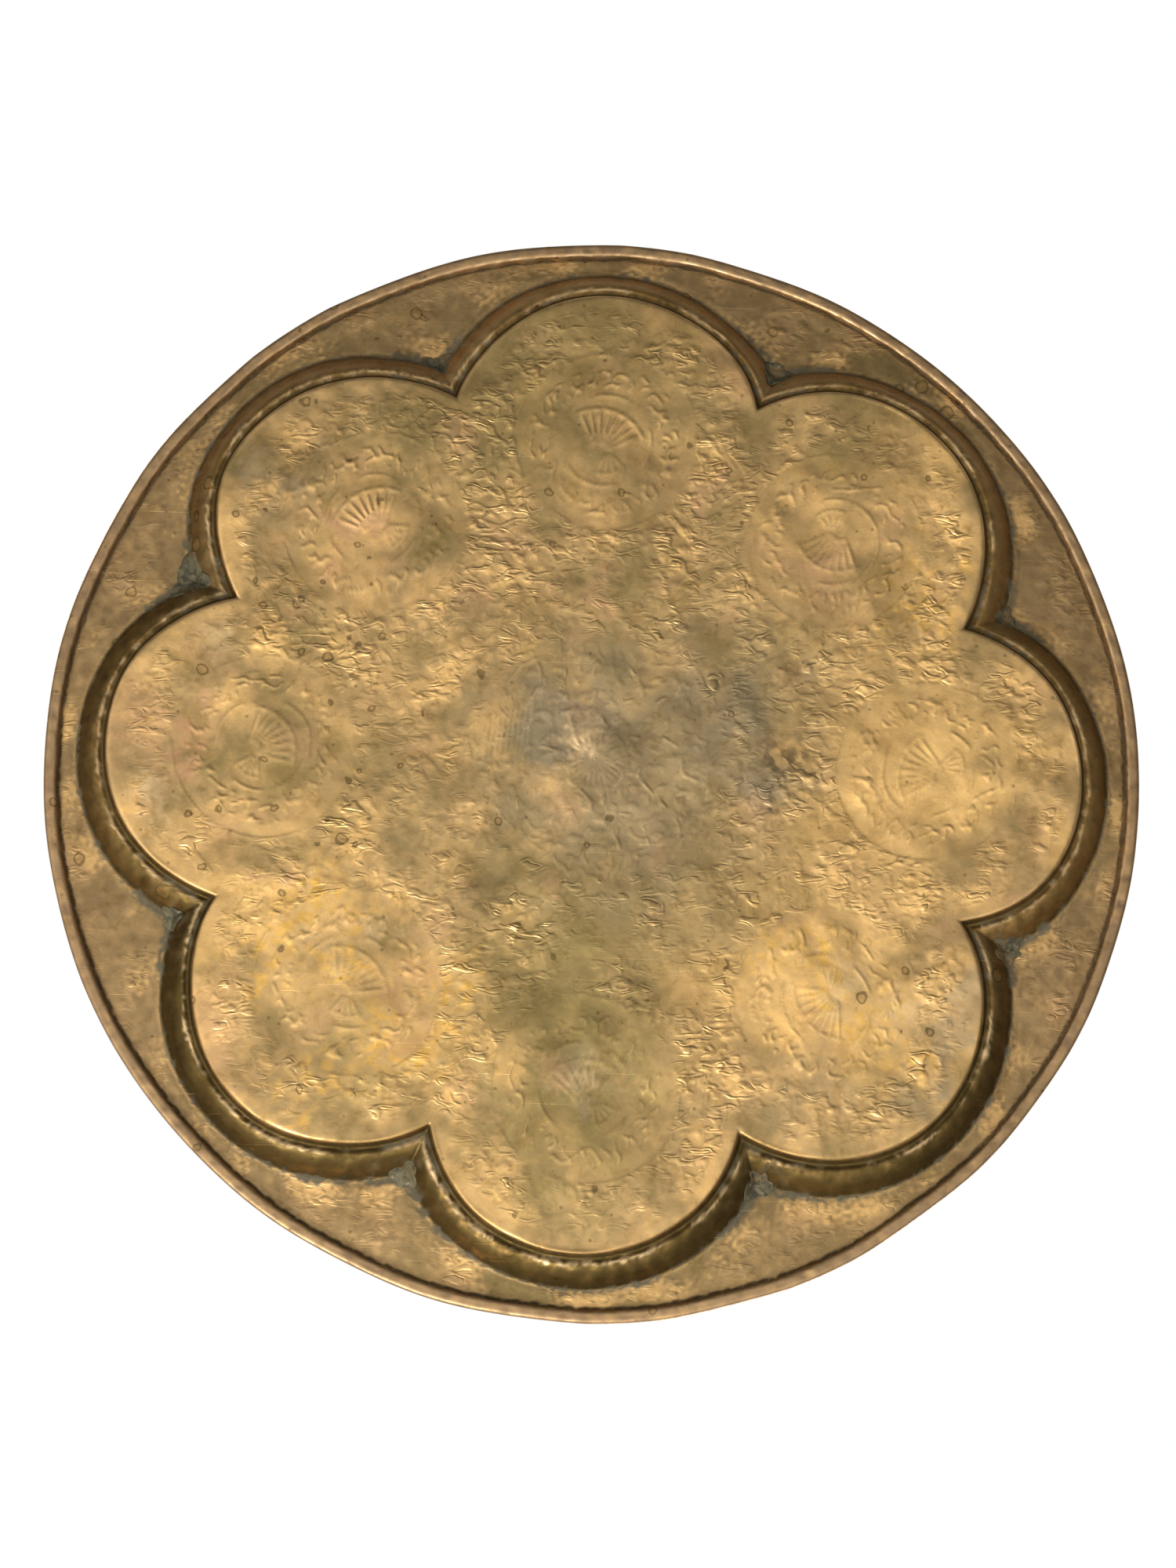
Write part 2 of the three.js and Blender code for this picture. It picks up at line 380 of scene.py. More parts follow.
SPOKES = 1536
RING_GAP = 0.66
FRONT_GAP = 1.1
HALVING_RADIUS = 96.0
LIP_TURN = math.radians(90 - 297)
FLANGE_END = 185.3
BACK, ROLL, FRONT = 0, 1, 2
rings = []


def count_at(radius, most):
    """The points in a ring: all of them far out, and half as many each time the radius halves."""
    halvings = max(0, math.ceil(math.log2(HALVING_RADIUS / max(radius, 0.01))))
    return max(most >> halvings, 6)


def add_ring(count, reach, height, face, lean=(0.0, 1.0)):
    """One ring. reach and height are numbers or functions, and lean is the section's square direction."""
    angle = np.arange(count) * 2 * math.pi / count
    radius = reach(angle) if callable(reach) else np.full(count, float(reach))
    level = height(angle, radius) if callable(height) else np.full(count, float(height))
    rings.append(np.column_stack([
        radius * np.cos(angle), radius * np.sin(angle), level,
        np.full(count, face), np.full(count, lean[0]), np.full(count, lean[1]),
    ]))


def add_field(most, gap, line, face):
    """The flat field, from the middle out to the start of the section."""
    start, level = line[0]
    steps = math.ceil(reach_to(0.0, start) / gap)
    for step in range(1, steps):
        share = step / steps
        count = count_at(share * CORNER_REACH, most)
        add_ring(count, lambda a, s=share: s * reach_to(a, start), level, face)


def add_moulding(most, gap, line, face):
    """The moulded wall. Towards its top it leans into the slope of the flange."""
    points = stations(line, gap)
    lean = upward(points)
    for (out, level), square in zip(points, lean):
        rise = float(smooth(out, LEAN_FROM, LEAN_TO))
        add_ring(
            most, lambda a, s=out: reach_to(a, s),
            lambda a, r, z=level, k=rise: z + k * (flange_under(r) - WELL_DEPTH), face, square,
        )


def add_flange(most, gap, thickness, face, end):
    """The flange, from the moulding's lobed edge to a true circle at its end."""
    steps = math.ceil((end - CORNER_REACH - CORNER_MOULDING) / gap)
    for step in range(1, steps + 1):
        share = step / steps
        add_ring(
            most, lambda a, s=share: (1 - s) * reach_to(a, SECTION_END) + s * end,
            lambda a, r: flange_under(r) + thickness, face,
        )


def roll_point(turn, inside):
    """A point of the rolled rim. Its underside was hammered a little flat on the stake."""
    radius = ROLL_INSIDE if inside else ROLL_OUTSIDE
    across, up = math.cos(turn), math.sin(turn)
    flat = 2.0 + (0.0 if inside else 2.0 * max(0.0, -up) ** 0.5)
    size = radius / (abs(across) ** flat + abs(up) ** flat) ** (1 / flat)
    return ROLL_RING + size * across, ROLL_HEIGHT + size * up, (across, up)


def add_roll(most, turns, inside, face):
    """Rings round the roll of the rim, one at each turn."""
    for turn in turns:
        out, level, square = roll_point(turn, inside)
        add_ring(most, out, level, face, square)


add_field(SPOKES, RING_GAP, underside_line, BACK)
add_moulding(SPOKES, RING_GAP, underside_line, BACK)
add_flange(SPOKES, RING_GAP, 0.0, BACK, FLANGE_END)
add_roll(SPOKES, np.linspace(math.pi / 2, LIP_TURN, 14), True, ROLL)
lip_ring = len(rings)
add_roll(SPOKES, np.linspace(LIP_TURN, 0.1, 17), False, ROLL)
seam_ring = len(rings)
add_roll(SPOKES // 2, np.linspace(0.3, math.pi / 2, 6), False, ROLL)

front = len(rings)
add_flange(SPOKES // 2, FRONT_GAP, SHEET, FRONT, ROLL_RING - 0.6)
rings[front:] = rings[front:][::-1]
front = len(rings)
add_moulding(SPOKES // 2, 0.9 * FRONT_GAP, topside_line, FRONT)
rings[front:] = rings[front:][::-1]
front = len(rings)
add_field(SPOKES // 2, FRONT_GAP, topside_line, FRONT)
rings[front:] = rings[front:][::-1]

ring_counts = np.array([len(r) for r in rings])
ring_starts = np.concatenate([[0], np.cumsum(ring_counts)])
sheet_rows = np.vstack(rings)
print(len(rings), "rings,", len(sheet_rows), "points; the lip is ring", lip_ring)

# %% [markdown]
# ## Unevenness of hand work
#
# Four things make a raised tray look made by hand: the whole outline wanders a little, the field has broad soft
# dents and finer hammer dimples, the bead and the hollow of the moulding were worked with a punch, and the lip
# of the rolled rim is ragged. Pushing points by the maps gives all of them, and both faces move together.

# %% How the sheet wanders and dents
PUNCH_DEPTH = 0.34
LOWEST, HIGHEST = 0.02, 15.5


def settle(x, y, z):
    """The wandering of the whole tray, for any point of it: sideways in the well, and down at the rim."""
    radius = np.hypot(x, y)
    loose = 1 - smooth(radius, 160, 184)
    side = 0.6 * loose * np.clip(read(wobble_map, x + 40, y), -1.8, 1.8)
    along = 0.6 * loose * np.clip(read(wobble_map, x, y - 75), -1.8, 1.8)
    rim = smooth(radius, 176, 186)
    pull = 1 - rim * 0.0042 * np.clip(0.35 + 0.35 * read(wobble_map, 1.1 * x, 1.1 * y + 30), 0, 1)
    droop = 0.22 * smooth(radius, 140, 170) * np.clip(0.5 + 0.4 * read(wobble_map, x - 90, y), 0, 1)
    return (x + side) * pull, (y + along) * pull, z - droop


def field_shape(x, y, inside):
    """The broad dents and hammer dimples of the field and flange."""
    dents = 0.26 * read(dent_map, x, y) + 0.11 * read(dimple_map, x, y) + 0.028 * read(planish_map, x, y)
    return np.clip(dents, -0.30, 0.9) * inside


print("a full punch pushes the sheet", PUNCH_DEPTH, "mm")

# %% [markdown]
# First the field, the wall and the flange. The wall is pushed square to itself, so its dents stay dents however
# steep it stands, and the chased pattern pushes only the flat parts, down on the back.

# %% Push the field, the wall and the flange
x, y, z = (sheet_rows[:, k].copy() for k in range(3))
face, lean_out, lean_up = sheet_rows[:, 3], sheet_rows[:, 4], sheet_rows[:, 5]
out = distance_out(x, y)
radius = np.hypot(x, y)
on_field = 1 - smooth(out, -1.5, 0.3)
on_flange = smooth(out, 12.0, 15.0) * (1 - smooth(radius, 178, 184)) * (face != ROLL)
on_wall = smooth(out, 0.6, 2.0) * (1 - smooth(out, 10.8, 12.2)) * (face != ROLL)

turn = folded(np.arctan2(y, x))
lobe = np.arctan2(y, x) - turn
wall_x, wall_y = x - LOBE_CENTRE * np.cos(lobe), y - LOBE_CENTRE * np.sin(lobe)
wall_size = np.maximum(np.hypot(wall_x, wall_y), 1e-6)
bead = hump(out, 3.5, 1.7)
hammered = on_wall * (0.13 * bead * read(bead_map, x, y) + 0.07 * read(planish_map, 1.3 * x, 1.3 * y)
                      + 0.10 * (1 - bead) * read(dimple_map, x + 60, 1.2 * y))
punched = PUNCH_DEPTH * read(pattern, x, y)
shape = field_shape(x, y, on_field) + 0.6 * field_shape(x + 30, y, on_flange)
z = z + shape - punched * np.maximum(on_field, on_flange) + hammered * lean_up
x = x + hammered * lean_out * wall_x / wall_size
y = y + hammered * lean_out * wall_y / wall_size
print("pushed by", round(float(shape.min()), 2), "to", round(float(shape.max()), 2), "mm, before the punch")

# %% [markdown]
# Then the rolled rim: its lip is ragged, and its underside was tapped a little flat where the hammer closed it.
# Last of all the whole tray settles, and nothing is let past the CAD's box.

# %% Push the rolled rim, and settle the tray
on_roll = face == ROLL
turn_of_roll = np.arctan2(z - ROLL_HEIGHT, radius - ROLL_RING)
lip = on_roll * (hump(turn_of_roll, LIP_TURN + 2 * math.pi, 0.55) + hump(turn_of_roll, -math.pi, 0.35))
ragged = lip * (0.30 * read(bead_map, x, y) + 0.28 * read(dimple_map, x, y + 50))
flattened = on_roll * hump(turn_of_roll, -1.7, 0.9) * 0.10 * read(planish_map, x, y)
x, y = x * (1 + ragged / ROLL_RING), y * (1 + ragged / ROLL_RING)
z = z + np.maximum(flattened, 0)
x, y, z = settle(x, y, z)
z = np.clip(z, LOWEST, HIGHEST)
sheet_points = np.column_stack([x, y, z])
print("sheet spans", np.round(sheet_points.min(0), 2), "to", np.round(sheet_points.max(0), 2), "mm")

# %% [markdown]
# ## One closed mesh
#
# Rings with the same count are joined by quads. Where the count doubles or halves, three triangles take up each
# pair of points. A point in the middle of each face closes the sheet, so it is watertight like the real metal.

# %% Knit the rings into one closed mesh
def knit(counts, starts):
    """Quads between rings of one size, and a row of triangles where the count doubles or halves."""
    quads, tris, quad_ring, tri_ring = [], [], [], []
    for k in range(len(counts) - 1):
        n, m, a, b = counts[k], counts[k + 1], starts[k], starts[k + 1]
        j = np.arange(min(n, m))
        if n == m:
            j1 = (j + 1) % n
            quads.append(np.column_stack([a + j, a + j1, b + j1, b + j]))
            quad_ring.append(np.full(len(j), k))
            continue
        if m == 2 * n:
            j1, e, o, e1 = (j + 1) % n, 2 * j, 2 * j + 1, (2 * j + 2) % m
            made = [(a + j, b + o, b + e), (a + j, a + j1, b + o), (a + j1, b + e1, b + o)]
        else:
            j1, e, o, e1 = (j + 1) % m, 2 * j, 2 * j + 1, (2 * j + 2) % n
            made = [(a + e, a + o, b + j), (a + o, b + j1, b + j), (a + o, a + e1, b + j1)]
        tris.append(np.concatenate([np.column_stack(t) for t in made]))
        tri_ring.append(np.full(3 * len(j), k))
    return quads, tris, quad_ring, tri_ring


quads, tris, quad_ring, tri_ring = knit(ring_counts, ring_starts)
middle_low, middle_high = len(sheet_points), len(sheet_points) + 1
middles = np.array([[0, 0, sheet_points[:6, 2].mean()], [0, 0, sheet_points[-6:, 2].mean()]])
sheet_points = np.vstack([sheet_points, middles])
first, last = np.arange(6), ring_starts[-2] + np.arange(6)
tris += [np.column_stack([np.full(6, middle_low), np.roll(first, -1), first]),
         np.column_stack([last, np.roll(last, -1), np.full(6, middle_high)])]
tri_ring += [np.zeros(6, int), np.full(6, len(rings))]
quads, tris = np.concatenate(quads), np.concatenate(tris)
corner_ring = np.concatenate([np.repeat(np.concatenate(quad_ring), 4), np.repeat(np.concatenate(tri_ring), 3)])
print(len(quads), "quads and", len(tris), "triangles")

# %% [markdown]
# Two helpers serve every piece. One makes a smooth mesh from arrays, which is far quicker than adding faces one by
# one. The other puts a mesh in the scene in place of a CAD node, which it hides, and gives it its finish.

# %% Helpers for meshes and pieces
def new_mesh(name, points, quads, tris):
    """A smooth mesh from points in millimetres."""
    mesh = bpy.data.meshes.new(name)
    corners = np.concatenate([quads.ravel(), tris.ravel()]).astype(np.int32)
    sizes = np.concatenate([np.full(len(quads), 4), np.full(len(tris), 3)]).astype(np.int32)
    mesh.vertices.add(len(points))
    mesh.vertices.foreach_set("co", (points * MM).astype(np.float32).ravel())
    mesh.loops.add(len(corners))
    mesh.loops.foreach_set("vertex_index", corners)
    mesh.polygons.add(len(sizes))
    mesh.polygons.foreach_set("loop_start", (np.cumsum(sizes) - sizes).astype(np.int32))
    mesh.polygons.foreach_set("loop_total", sizes)
    mesh.update(calc_edges=True)
    mesh.validate()
    mesh.shade_smooth()
    return mesh


def new_piece(name, mesh, node, material):
    """Puts a mesh in the scene in place of a CAD node, riding on the tray's one body."""
    piece = bpy.data.objects.new(name, mesh)
    bpy.context.scene.collection.objects.link(piece)
    mesh.materials.append(material)
    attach(piece, "root")
    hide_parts(node)
    return piece


sheet_mesh = new_mesh("raised_sheet", sheet_points, quads, tris)
print("sheet mesh:", len(sheet_mesh.vertices), "points,", len(sheet_mesh.polygons), "faces")

# %% [markdown]
# ## A flat layout of the sheet
#
# The sheet unrolls almost without stretch: each face becomes a disc whose radius is the distance walked along the
# section, so even the steep wall keeps its share. The two discs lie corner to corner in the square.

# %% Lay the sheet out flat
DISC = 0.2925  # the radius of each disc, as a share of the square's side
LOW_DISC, HIGH_DISC = 0.293, 0.707


def layout(mesh, points, counts, starts, seam):
    """Adds the layout's coordinates to every face corner."""
    means = np.array([np.hypot(*points[a:a + n, :2].T).mean() for a, n in zip(starts, counts)])
    levels = np.array([points[a:a + n, 2].mean() for a, n in zip(starts, counts)])
    steps = np.hypot(np.diff(means), np.diff(levels))
    walked = np.concatenate([[means[0]], means[0] + np.cumsum(steps)])
    back = np.append(np.repeat(walked, counts), [0, 0])
    homeward = walked[-1] + means[-1] - walked
    home = np.append(np.repeat(homeward, counts), [0, 0])
    angle = np.arctan2(points[:, 1], points[:, 0])
    size = DISC / max(walked[seam], homeward[seam])
    low = np.column_stack([LOW_DISC - size * back * np.cos(angle), LOW_DISC + size * back * np.sin(angle)])
    high = np.column_stack([HIGH_DISC + size * home * np.cos(angle), HIGH_DISC + size * home * np.sin(angle)])
    corner = np.empty(len(mesh.loops), np.int32)
    mesh.loops.foreach_get("vertex_index", corner)
    chosen = np.where((corner_ring < seam)[:, None], low[corner], high[corner])
    mesh.uv_layers.new(name="OFBake").data.foreach_set("uv", chosen.astype(np.float32).ravel())


layout(sheet_mesh, sheet_points, ring_counts, ring_starts, seam_ring)
print("the layout is", sheet_mesh.uv_layers[0].name, "with", len(sheet_mesh.loops), "corners")

# %% [markdown]
# ## Patina and painted light
#
# Old brass is never one colour. Where hands and cloths reach it, it is gold; where air and damp sat, it is olive or
# brown; where the metal was heated it can blush pink. Dirt stays in grooves and corners, with painted shade
# besides, and edges are rubbed bright, with a painted highlight on them. Painted shade also darkens the top of the
# field and the wall towards the bottom and the right, and painted light brightens the top of the wall. Each of
# these is a mask over the sheet's points, from the same measures that shaped it: how far outside the edge, how deep
# in the pattern, which face. A few listed spots give the tray its own history.

# %% Colours of old brass
def paint(red, green, blue):
    """A colour as the light it sends back, from its 0 to 255 screen values."""
    share = np.array([red, green, blue]) / 255
    return np.where(share <= 0.04045, share / 12.92, ((share + 0.055) / 1.055) ** 2.4)


MID_BRASS = paint(214, 176, 124)
GOLD_BRASS = paint(255, 208, 134)
OLIVE_BRASS = paint(162, 141, 90)
GREY_BRASS = paint(173, 154, 121)
PINK_BRASS = paint(228, 180, 132)
YELLOW_BRASS = paint(255, 200, 92)
BROWN_BRASS = paint(160, 126, 74)
DARK_BRASS = paint(100, 82, 46)
PALE_BRASS = paint(250, 216, 164)
HEM_BRASS = paint(160, 132, 100)
FLANGE_BRASS = paint(152, 126, 88)
DIRT = paint(52, 46, 32)
RESIDUE = paint(84, 80, 62)

print("brass runs from", np.round(DARK_BRASS, 2), "to", np.round(PALE_BRASS, 2))

# %% [markdown]
# Every place is a soft round spot: its middle, its reach, and how strong it is. Gold and yellow are where the sheet
# was handled and rubbed, olive where it was left alone, and the shade places are painted shade that darkens the
# field towards its top; pink is where it was heated, grey and pale where something was once wiped or spilt. The
# last three lists are for the flange, stains and dried drops.

# %% Places of each tone, as middle x, middle y, reach and strength
GOLD_PLACES = [
    (96, -54, 22, 0.9), (126, -50, 16, 0.7), (52, -92, 20, 0.7), (85, 76, 14, 0.6), (-84, -74, 24, 1.2),
    (-112, 4, 30, 0.9), (-50, -80, 18, 0.6), (-112, 108, 18, 0.7), (-70, 82, 15, 0.6), (-110, 62, 20, 0.5),
    (-96, -16, 30, 0.5),
    (-120, -108, 22, 0.6), (132, -88, 20, 0.5), (138, 44, 14, 0.5), (-140, 10, 18, 0.4), (60, 20, 20, 0.3),
    (30, -150, 16, 0.3), (-30, 150, 14, 0.3),
]
YELLOW_PLACES = [
    (98, -52, 13, 0.9), (82, -68, 10, 0.7), (110, -72, 9, 0.6), (60, -98, 13, 0.7), (44, -84, 11, 0.6),
    (-84, -74, 13, 0.8), (-102, -92, 10, 0.5), (-112, 60, 12, 0.5), (-60, -62, 10, 0.5), (96, -116, 12, 0.5),
]
OLIVE_PLACES = [
    (100, -104, 24, 0.45), (72, -112, 20, 0.35), (124, -86, 14, 0.3), (-100, -110, 18, 0.3),
    (18, 156, 30, 0.45), (32, 112, 26, 0.4), (-88, 130, 24, 0.5), (-30, 118, 30, 0.3), (107, 40, 13, 0.6),
    (112, -2, 20, 0.8), (-28, -46, 30, 0.45), (-30, 4, 30, 0.4), (20, 30, 30, 0.3),
    (18, -56, 32, 0.8), (0, -96, 26, 0.7), (-56, 34, 22, 0.5), (8, -128, 32, 0.75), (62, 108, 26, 0.4),
    (-14, 60, 24, 0.4), (72, -10, 22, 0.3), (-150, 60, 12, 0.5),
]
# painted shade: spots where the field is painted darker, towards its top
PAINTED_SHADE_PLACES = [
    (22, 158, 24, 0.6), (-24, 152, 20, 0.5), (68, 122, 20, 0.5), (106, 108, 18, 0.4), (-96, 122, 20, 0.4),
    (48, 132, 14, 0.4), (118, 66, 14, 0.35), (150, 30, 14, 0.25),
]
GREY_PLACES = [
    (-124, -98, 9, 0.8), (-112, -116, 10, 0.7), (-128, -82, 8, 0.6),
    (9, 12, 15, 0.9), (4, -2, 42, 0.5), (-40, 20, 26, 0.55), (-57, 4, 16, 0.6), (0, -110, 8, 0.5),
    (-20, -30, 24, 0.4), (109, 92, 10, 0.6), (-80, -110, 12, 0.3),
]
PINK_PLACES = [
    (88, 76, 7, 0.9), (2, 56, 6, 0.7), (158, 4, 12, 0.6), (-45, 150, 14, 0.5), (138, 2, 5, 0.9),
    (-74, 70, 9, 0.6), (128, -104, 20, 0.5), (-150, -60, 14, 0.5), (-35, 98, 6, 0.6), (107, -38, 5, 0.8),
    (-24, -28, 6, 0.4), (60, -84, 7, 0.5),
]
PALE_PLACES = [
    (151, -17, 4, 0.9), (146, -24, 3, 0.6), (5, 6, 5, 0.9), (-1, 12, 3, 0.6), (0, -109, 5, 0.5),
    (-108, -82, 6, 0.5), (-90, -72, 7, 0.6), (-83, -82, 4, 0.6), (90, -66, 6, 0.4), (73, -62, 4, 0.5),
    (133, 38, 6, 0.5), (-128, -76, 6, 0.5),
]
DARK_FLANGE = [
    (0, -172, 50, 0.9), (-90, -142, 34, 0.55), (120, -124, 24, 0.3), (20, 172, 44, 0.35),
    (100, 140, 34, 0.45), (-100, 142, 44, 0.6),
]
STAIN_PLACES = [
    (-61, 2, 8, 0.9), (-69, 0, 5, 0.6), (-33, -15, 7, 0.5), (-45, -12, 5, 0.4), (-24, -84, 6, 0.5),
    (-15, -80, 4, 0.5), (-46, 53, 2.2, 0.9), (110, 94, 6, 0.6), (-102, 69, 2.0, 0.7), (112, 55, 3, 0.4),
]
DROP_PLACES = [
    (104, 60, 44, 0.9), (88, 8, 40, 0.9), (132, -30, 26, 0.6), (60, 70, 26, 0.5), (-58, 118, 30, 0.45),
    (-100, -96, 26, 0.4), (20, 80, 24, 0.4), (30, -30, 20, 0.3),
]
field_spots = GOLD_PLACES + YELLOW_PLACES + OLIVE_PLACES + PAINTED_SHADE_PLACES + GREY_PLACES + PINK_PLACES + PALE_PLACES
print(len(field_spots), "spots for tones, and", len(DARK_FLANGE + STAIN_PLACES + DROP_PLACES), "for the rest")

# %% [markdown]
# Before any paint, the tray is split into masks, each a number from 0 to 1 at every point: the field, the wall,
# what lies beyond it, the rolled rim, the back. Most spots are read at places that drift by the maps, so their
# edges come out as cloudy as real tarnish and not as circles.

# %% Where each tone may lie
def full(values):
    """Adds the two middle points' values to those of the rings."""
    return np.append(values, [values[0], values[-1]])


px, py = full(sheet_rows[:, 0]), full(sheet_rows[:, 1])
px[-2:] = py[-2:] = 0.0
out, radius, face = full(out), np.hypot(px, py), full(face)
under, over, rolled = face == BACK, face == FRONT, face == ROLL
struck = read(pattern, px, py)
cloud, mottle, fleck = read(cloud_map, px, py), read(mottle_map, px, py), read(fleck_map, px, py)
drift_x = px + 6.0 * cloud + 1.5 * mottle
drift_y = py + 6.0 * read(cloud_map, px + 70, py) + 1.5 * read(mottle_map, px + 50, py)
speck_x, speck_y = px + 1.6 * mottle, py + 1.6 * fleck
toward_right, toward_top = px / np.maximum(radius, 1), py / np.maximum(radius, 1)

off_corner = np.abs(folded(np.arctan2(py, px))) - LOBE_STEP / 2
along_corner = CORNER_REACH + CORNER_MOULDING - radius * np.cos(off_corner)
around_corner = np.hypot(along_corner, radius * np.sin(off_corner))
near_corner = np.exp(-(around_corner / CORNER_MOULDING) ** 2)

on_back = under.astype(float)
in_well = 1 - smooth(out, -2, 0.5)
wall = smooth(out, 0.2, 1.2) * (1 - smooth(out, 11.2, 12.6)) * (~rolled)
field = in_well * (~rolled)
beyond = smooth(out, 12, 14)
print("points under, rolled and over:", int(under.sum()), int(rolled.sum()), int(over.sum()))

# %% [markdown]
# Paint goes on as in real life, one thin coat over another. The field starts as plain brass. Clouds of gold and
# olive go over all of it, then the spots: first painted shade towards the top, then the rest in the order in which
# such a tray changed: tarnish, then what was rubbed off it, then what fell on it.

# %% Tones of the field
def lay_over(colour, new, amount):
    """One coat of a new colour, as thick as the amount says at each point."""
    amount = np.clip(amount, 0, 1)[:, None]
    return colour * (1 - amount) + new * amount


colour = np.repeat(MID_BRASS[None, :], len(px), axis=0)
colour = lay_over(colour, GOLD_BRASS, 0.26 + 0.20 * cloud + 0.08 * mottle + 0.05 * fleck)
tarnished = 0.20 - 0.18 * cloud - 0.08 * mottle + 0.08 * fleck
colour = lay_over(colour, OLIVE_BRASS, tarnished * (0.4 + 0.6 * on_back))
places = field * on_back
patchy = smooth(mottle + 0.6 * fleck + 0.5 * read(planish_map, px, py), -0.3, 1.0)
blushed = smooth(read(cloud_map, px + 80, py - 40) + 0.5 * fleck, 1.1, 2.2)
# painted shade: the field painted darker olive towards its top
colour = lay_over(colour, OLIVE_BRASS * 0.55, places * spotted(PAINTED_SHADE_PLACES, drift_x, drift_y))
colour = lay_over(colour, OLIVE_BRASS, places * spotted(OLIVE_PLACES, drift_x, drift_y))
colour = lay_over(colour, GOLD_BRASS, places * spotted(GOLD_PLACES, drift_x, drift_y))
colour = lay_over(colour, YELLOW_BRASS, places * patchy * spotted(YELLOW_PLACES, drift_x, drift_y))
colour = lay_over(colour, GREY_BRASS, places * spotted(GREY_PLACES, drift_x, drift_y))
colour = lay_over(colour, PINK_BRASS, on_back * spotted(PINK_PLACES, drift_x, drift_y))
colour = lay_over(colour, PINK_BRASS, places * 0.35 * blushed)
colour = lay_over(colour, PALE_BRASS, places * spotted(PALE_PLACES, speck_x, speck_y))
print("mean colour of the field's back:", np.round(colour[places > 0.5].mean(0), 3))

# %% [markdown]
# The flange is duller than the field, since little rubs it: a brown coat, olive clouds, dark places, a blush of
# pink, and a little gold close to the well, where fingers reach. The rolled rim has its own brown.

# %% The flange and the rim
colour = lay_over(colour, FLANGE_BRASS, beyond * on_back * (0.88 - 0.10 * mottle))
colour = lay_over(colour, OLIVE_BRASS * 0.8, beyond * on_back * (0.20 + 0.16 * cloud + 0.06 * fleck))
colour = lay_over(colour, OLIVE_BRASS * 0.62, beyond * on_back * spotted(DARK_FLANGE, drift_x, drift_y))
colour = lay_over(colour, PINK_BRASS * 0.75, beyond * (0.14 + 0.14 * cloud + 0.05 * fleck))
touched = hump(out, 16, 5) * smooth(cloud + 0.4 * fleck, -0.2, 1.6)
colour = lay_over(colour, GOLD_BRASS, beyond * on_back * touched * 0.45)
colour = lay_over(colour, HEM_BRASS, rolled * (0.80 + 0.12 * mottle))
print("mean colour beyond the wall:", np.round(colour[(beyond > 0.5) & under].mean(0), 3))

# %% [markdown]
# The wall is brown all round, as tarnish, since no cloth gets into it, and as painted shade, since it stands steep.
# It is painted darker at the bottom and to the right as shade, and lighter at the top as painted light. The field's
# edge is painted darker along the bottom and the wall darker towards the crease, both as painted shade. Its riser
# is painted darkest as shade, its groove keeps dirt, and the crest of its bead is painted pale in broken runs, as
# rubbed wear and a painted highlight.

# %% The moulded wall
# the wall's brown: tarnish, and painted shade for its steep faces
wall_tone = (0.92 + 0.08 * mottle) * (0.6 + 0.4 * on_back)
colour = lay_over(colour, BROWN_BRASS, wall * wall_tone)
low_down, to_right = smooth(-toward_top, 0.1, 0.8), smooth(toward_right, 0.3, 1.0)
# painted shade: the wall darker towards the bottom and the right
wall_shade_low_and_right = 0.20 - 0.12 * mottle + 0.08 * fleck + 0.80 * low_down + 0.42 * to_right
colour = lay_over(colour, DARK_BRASS, wall * on_back * wall_shade_low_and_right)
# painted light: the outer wall lighter towards the top
wall_light_at_top = smooth(toward_top, 0.25, 0.9) * smooth(out, 4, 6)
colour = lay_over(colour, MID_BRASS, wall * on_back * 0.62 * wall_light_at_top)
# painted shade: the field's edge darker along the bottom
shoulder = hump(out, -0.25, 0.6) * smooth(-toward_top, 0.0, 0.7)
colour = lay_over(colour, BROWN_BRASS * 0.8, on_back * 0.7 * shoulder)
# painted shade: the wall's outer part darker towards the crease
colour = lay_over(colour, DARK_BRASS * 0.85, wall * 0.55 * smooth(out, 9.0, 11.4) * on_back)
# painted shade: the riser painted darkest
riser = smooth(out, -0.05, 0.3) * (1 - smooth(out, 1.9, 2.8))
colour = lay_over(colour, DARK_BRASS, on_back * 0.70 * riser)
# the bead's crest painted pale in broken runs: rubbed wear and a painted highlight
along_bead = out + 0.35 * mottle + 0.25 * fleck
crest = hump(along_bead, 3.4, 0.60) * smooth(0.5 * mottle + cloud + 0.4 * fleck, -0.9, 0.5)
colour = lay_over(colour, PALE_BRASS * 0.9, wall * crest * 0.75 * on_back)
print("mean colour of the wall:", np.round(colour[(wall > 0.5) & under].mean(0), 3))

# %% [markdown]
# The pattern takes paint on both faces. On the back its bumps are rubbed gold, with olive left round their feet.
# On the front it is a punched line, so it holds dark dirt, and the metal beside it shines. A thin dark circle
# is drawn round each roundel there, where the matting stops.

# %% The pattern, on the back and on the front
colour = lay_over(colour, OLIVE_BRASS * 0.55, on_back * field * 0.28 * hump(struck, 0.12, 0.12))
colour = lay_over(colour, GOLD_BRASS, on_back * 0.22 * smooth(struck, 0.35, 0.9))
colour = lay_over(colour, BROWN_BRASS, over * np.clip(0.34 + 0.14 * cloud, 0, 1))
lines = over * field * smooth(struck + 0.08 * fleck, 0.10, 0.42)
lines = np.maximum(lines, over * field * 0.8 * hump(read(ground, px, py), 0.5, 0.22))
colour = lay_over(colour, DARK_BRASS, 0.66 * lines)
colour = lay_over(colour, GOLD_BRASS, over * field * 0.25 * hump(struck, 0.04, 0.05))
print("mean colour of the front:", np.round(colour[over].mean(0), 3))

# %% [markdown]
# Two late touches: stains that dried on the back of the field, and a pale line where the well's edge is worn, which
# is also a painted highlight, kept to the top and sides.

